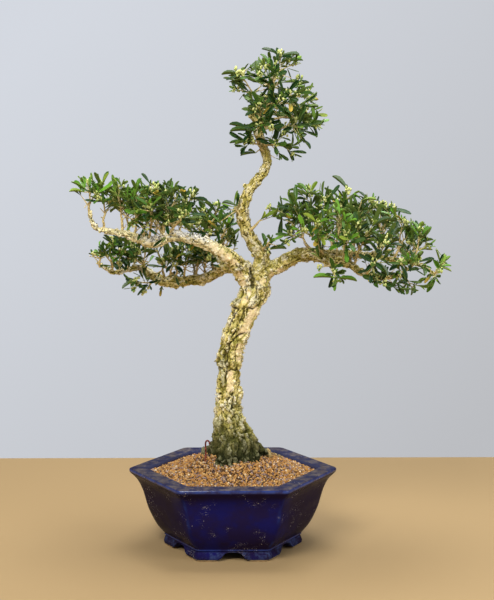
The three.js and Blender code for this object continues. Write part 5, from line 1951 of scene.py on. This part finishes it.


# %% [markdown]
# ### Shoots read off the picture
#
# Each of these stands out against the backdrop or lies in the light at the front of a pad, where the eye
# looks first. It is given one by one, so that the tree is known again. All other leaves follow the rules
# above.

# %% Sprigs
# The pixel of the node, the pixels of the leaf tips, how young the leaves are, and the number of buds
SPRIGS = {
    "apex": [
        ((251.7, 131), [(229.7, 121.9), (230.6, 128.6)], 0.1, 6),
        ((252.6, 142), [(229.7, 141.5)], 0.0, 5),
        ((255.5, 153), [(240.2, 153.9), (249, 149)], 0.0, 0),
        ((281, 55), [(262.2, 47.3), (299, 53.5), (294.2, 58.3)], 0.3, 7),
        ((291.8, 64), [(301.4, 55.4)], 0.9, 0),
        ((275.6, 66), [(261.7, 59.9)], 0.3, 7),
        ((247.5, 69), [(261.2, 60.2)], 0.2, 0),
        ((242, 74), [(221.5, 71.7), (226.3, 80.1)], 0.2, 6),
        ((291, 89), [(308.6, 79.8)], 0.1, 0),
        ((306.2, 101.3), [(318.6, 98)], 0.1, 3),
        ((315, 123.3), [(329.6, 120), (312, 107)], 0.7, 3),
        ((301.4, 130), [(317.6, 136.2)], 0.3, 4),
        ((301.4, 138.6), [(311, 147.7)], 0.2, 0),
        ((288, 151.5), [(306.2, 152.5), (293.7, 160.1)], 0.3, 0),
        ((266, 97), [(250, 105), (279, 94)], 0.1, 8),
        ((268, 122), [(257, 133), (279, 131)], 0.0, 4),
    ],
    "right": [
        ((348, 190), [(334.2, 174.5)], 0.1, 7),
        ((309.6, 195), [(298.4, 182.3), (317.3, 180.9), (319.5, 190)], 0.7, 3),
        ((282, 216), [(278.8, 202.3), (287.9, 204), (280, 238)], 0.1, 5),
        ((268, 208.5), [], 0.5, 7),
        ((335.6, 278), [(313.8, 274.5), (358, 279.4), (334.9, 291.4)], 0.85, 0),
        ((343, 262), [(356, 255), (333, 268)], 0.1, 0),
        ((419.8, 250.7), [(404.3, 227.5), (433, 243)], 0.6, 0),
        ((420.5, 238), [(414.2, 221.5), (429.6, 226.1), (409, 223.5)], 0.7, 3),
        ((439.4, 266.8), [(446.4, 254.9), (452, 265.4), (452.3, 271)], 0.8, 2),
        ((415.6, 285), [(431, 288.6), (424, 277)], 0.6, 0),
        ((396, 282.3), [(409.3, 293.5), (401.5, 293.5), (388.9, 290.7)], 0.3, 0),
        ((398.7, 262.6), [(407.1, 278.7)], 0.0, 4),
        ((374, 266), [(372, 277), (385, 269)], 0.1, 8),
        ((362, 200), [(366, 196), (376, 198), (353, 193)], 0.8, 0),
        ((386, 207), [(392, 205), (410.5, 213)], 0.3, 5),
        ((356, 222), [(363, 214), (345, 229)], 0.3, 9),
    ],
    "left": [
        ((84.2, 192.1), [(73.9, 180), (70, 189.4), (83, 176.5)], 0.8, 0),
        ((102.4, 185.4), [(108.5, 172.7), (97, 178)], 0.8, 0),
        ((121, 186), [(114.5, 177), (128, 180)], 0.5, 3),
        ((149.7, 183.5), [(141.5, 173)], 0.1, 0),
        ((166, 192), [(169, 180.5), (156, 183)], 0.0, 6),
        ((193.3, 197.6), [(195.7, 185.4), (206, 205)], 0.1, 9),
        ((142, 215), [(143.5, 201), (150.5, 207.5)], 0.9, 0),
        ((101, 217), [(95.5, 210)], 0.2, 0),
    ],
    "low": [
        ((100, 256), [(91, 255), (93.5, 250), (102, 247)], 0.6, 3),
        ((112, 243), [(103, 237), (117, 234)], 0.2, 4),
        ((137, 279), [(122, 287), (131.5, 286)], 0.1, 9),
        ((149, 262), [(141, 268), (153, 256)], 0.8, 0),
    ],
    "leader": [
        ((219.5, 222), [(221.5, 209), (211, 214), (228, 213)], 0.5, 0),
        ((237, 206), [(237.5, 192), (222.5, 201)], 0.4, 0),
        ((266.8, 250), [(262.6, 233), (274.6, 237.5), (286.5, 246.5)], 0.5, 2),
        ((221, 263), [(219, 252)], 0.9, 0),
    ],
}
print("sprigs:", sum(len(group) for group in SPRIGS.values()))

# %% One sprig
SPRIG_FORWARD = 1.5
SPRIG_SHORTEST = 12
# The Y and Z of a leaf's face: it looks up and a little to the front
SPRIG_FACE = (-0.5, 1)


def nearest_stem(stems, spot):
    """The place on the stems that shows nearest to a pixel."""
    places = [start.lerp(end, k / 8) for start, end in stems for k in range(1, 9)]
    return min(places, key=lambda place: (in_picture(place) - spot).length)


def add_sprig(bm, stems, node, tips, youth, buds, seed):
    """A short stem from the nearest stem to the node, and its leaves. Gives the number of leaves."""
    hold = nearest_stem(stems, Vector(node))
    place = from_picture(*node, hold.y - SPRIG_FORWARD)
    add_stem(bm, crooked(hold, place, seed, 0.4), (0.65, 0.45), (0.8, 0.3), 5)
    grown = 0
    for k, tip in enumerate(tips):
        end = from_picture(*tip, place.y)
        flat = (end - place).length
        length = max(flat * 1.03, SPRIG_SHORTEST)
        end.y += math.sqrt(length**2 - flat**2) * (1 if chance(seed, k, 71) > 0.5 else -1)
        along = (end - place).normalized()
        face = square_to(along, Vector((0.8 * (chance(seed, k, 72) - 0.5), *SPRIG_FACE)))
        width = between(LEAF_WIDTH, chance(seed, k, 73)) * min(length / 15, 1.1)
        grown += add_leaf(bm, place, along, face, length, width, youth, seed * 5 + k)
    add_buds(bm, place, UPWARDS, buds, seed)
    return grown


# %% [markdown]
# ### Leaf, stem and bud materials
#
# A mature leaf is dark and glossy above, and dull olive below. A young one is fresh yellow-green. The edge
# and the midrib are a little paler in both, and a few old leaves have turned yellow from the tip. One
# material does for all leaves, because each copy brings its own youth and its own two random numbers in an
# attribute.

# %% Leaf material
MATURE = seen_as(20, 60, 26)
MATURE_WARM = seen_as(54, 88, 24)
YOUNG = seen_as(104, 158, 44)
YOUNG_YELLOW = seen_as(158, 176, 62)
OLIVE = seen_as(100, 122, 46)
MARGIN = seen_as(160, 172, 84)
YELLOW = seen_as(190, 164, 62)

leaf_green = Paint("boxwood_leaf", specular_ior_level=0.4)
across, along, under = leaf_green.attribute("blade").parts()
youth, lot, mood = leaf_green.attribute("tint").parts()
mottle = leaf_green.noise(leaf_green.millimetres(), 3, 3)
old = leaf_green.mix(lot.rise(0.3, 0.95), MATURE, MATURE_WARM)
fresh = leaf_green.mix(lot.rise(0.5, 1.0), YOUNG, YOUNG_YELLOW)
colour = leaf_green.mix(youth.rise(0.25, 0.95), old, fresh)
colour = leaf_green.mix(mottle.rise(0.45, 0.8) * 0.2, colour, OLIVE)
midrib = (1 - across.rise(0.02, 0.16)) * (1 - along.rise(0.7, 0.98)) * 0.22
edge = across.rise(0.86, 1.0) * 0.22
colour = leaf_green.mix(leaf_green.most(midrib, edge), colour, MARGIN)
colour = leaf_green.mix(under * 0.65, colour, OLIVE)
turned = mood.rise(0.982, 0.988) * (along + 0.5 * mottle).rise(0.45, 1.1)
colour = leaf_green.mix(turned, colour, YELLOW)
relief = leaf_green.bump(across.rise(0.0, 0.3) + 0.3 * mottle, 0.00015)
leaf_green.set(base_color=colour, roughness=0.34 + 0.26 * under + 0.12 * mottle, normal=relief)

# %% Stem material
GREEN_STEM = seen_as(158, 164, 84)
OLD_STEM = seen_as(224, 206, 148)
OLD_SHADE = seen_as(146, 122, 74)

stem_paint = Paint("boxwood_stem", specular_ior_level=0.3)
age = stem_paint.attribute("tint").parts()[0]
speckle = stem_paint.noise(stem_paint.millimetres(), 1.3, 4, 0.65)
woody = stem_paint.mix(speckle.rise(0.42, 0.66), OLD_STEM, OLD_SHADE)
stem_paint.set(base_color=stem_paint.mix((age + 0.3 * speckle).rise(0.35, 0.7), GREEN_STEM, woody))
stem_paint.set(roughness=0.55 + 0.3 * age, normal=stem_paint.bump(speckle, 0.0006))

# %% Bud material
BUD_CREAM = seen_as(220, 220, 152)
BUD_GREEN = seen_as(178, 192, 106)

bud_paint = Paint("flower_bud", specular_ior_level=0.3)
lot = bud_paint.attribute("tint").parts()[1]
speckle = bud_paint.noise(bud_paint.millimetres(), 0.9, 3, 0.6)
bud_paint.set(base_color=bud_paint.mix(lot, BUD_CREAM, BUD_GREEN))
bud_paint.set(roughness=0.55 + 0.2 * speckle, normal=bud_paint.bump(speckle, 0.0003))

# %% [markdown]
# ### The pads
#
# Here the pads are grown, one piece for each pad of the tree, and each stands for the CAD sprays of that
# pad. One piece for each leaf would be thousands of objects, which no scene needs. Sprigs grow from the
# stems of their own pad. Those of the leader pad may also grow straight from the wood.

# %% Stems of a limb
LIMB_STEM_STEP = 3


def stems_of(limb):
    """A limb's centre line as short straight stems."""
    places = [frame_here.translation for frame_here in limb.frames]
    return list(zip(places[::LIMB_STEM_STEP], places[LIMB_STEM_STEP::LIMB_STEM_STEP]))


# %% Pads
PADS = ["apex", "right", "left", "low", "back", "leader"]
INNER_SEED = 150
SPRIG_SEED = 700

numbers = {name: number for number, name in enumerate(SPRAYS)}
for pad in PADS:
    names = [name for name in SPRAYS if name.startswith(pad + "_")]
    bm = bmesh.new()
    stems = []
    leaves = 0
    for name in names:
        leaves += grow_spray(bm, stems, SPRAYS[name], numbers[name], YOUTH.get(name, USUAL_YOUTH))
    for i, places in enumerate(INNER.get(pad, [])):
        leaves += grow_spray(bm, stems, places, INNER_SEED + 9 * len(pad) + i, leafy=INNER_LEAFY)
    if pad == "leader":
        stems += stems_of(limbs["leader"]) + stems_of(limbs["left"])
    for i, sprig in enumerate(SPRIGS.get(pad, [])):
        leaves += add_sprig(bm, stems, *sprig, SPRIG_SEED + 40 * len(pad) + i)
    pad_mesh = mesh_from(bm, pad)
    print(pad, "leaves:", leaves)
    paints = [leaf_green, stem_paint, bud_paint]
    finish(pad_mesh, "foliage_" + pad, paints, ["spray_" + name for name in names], sharp=60)
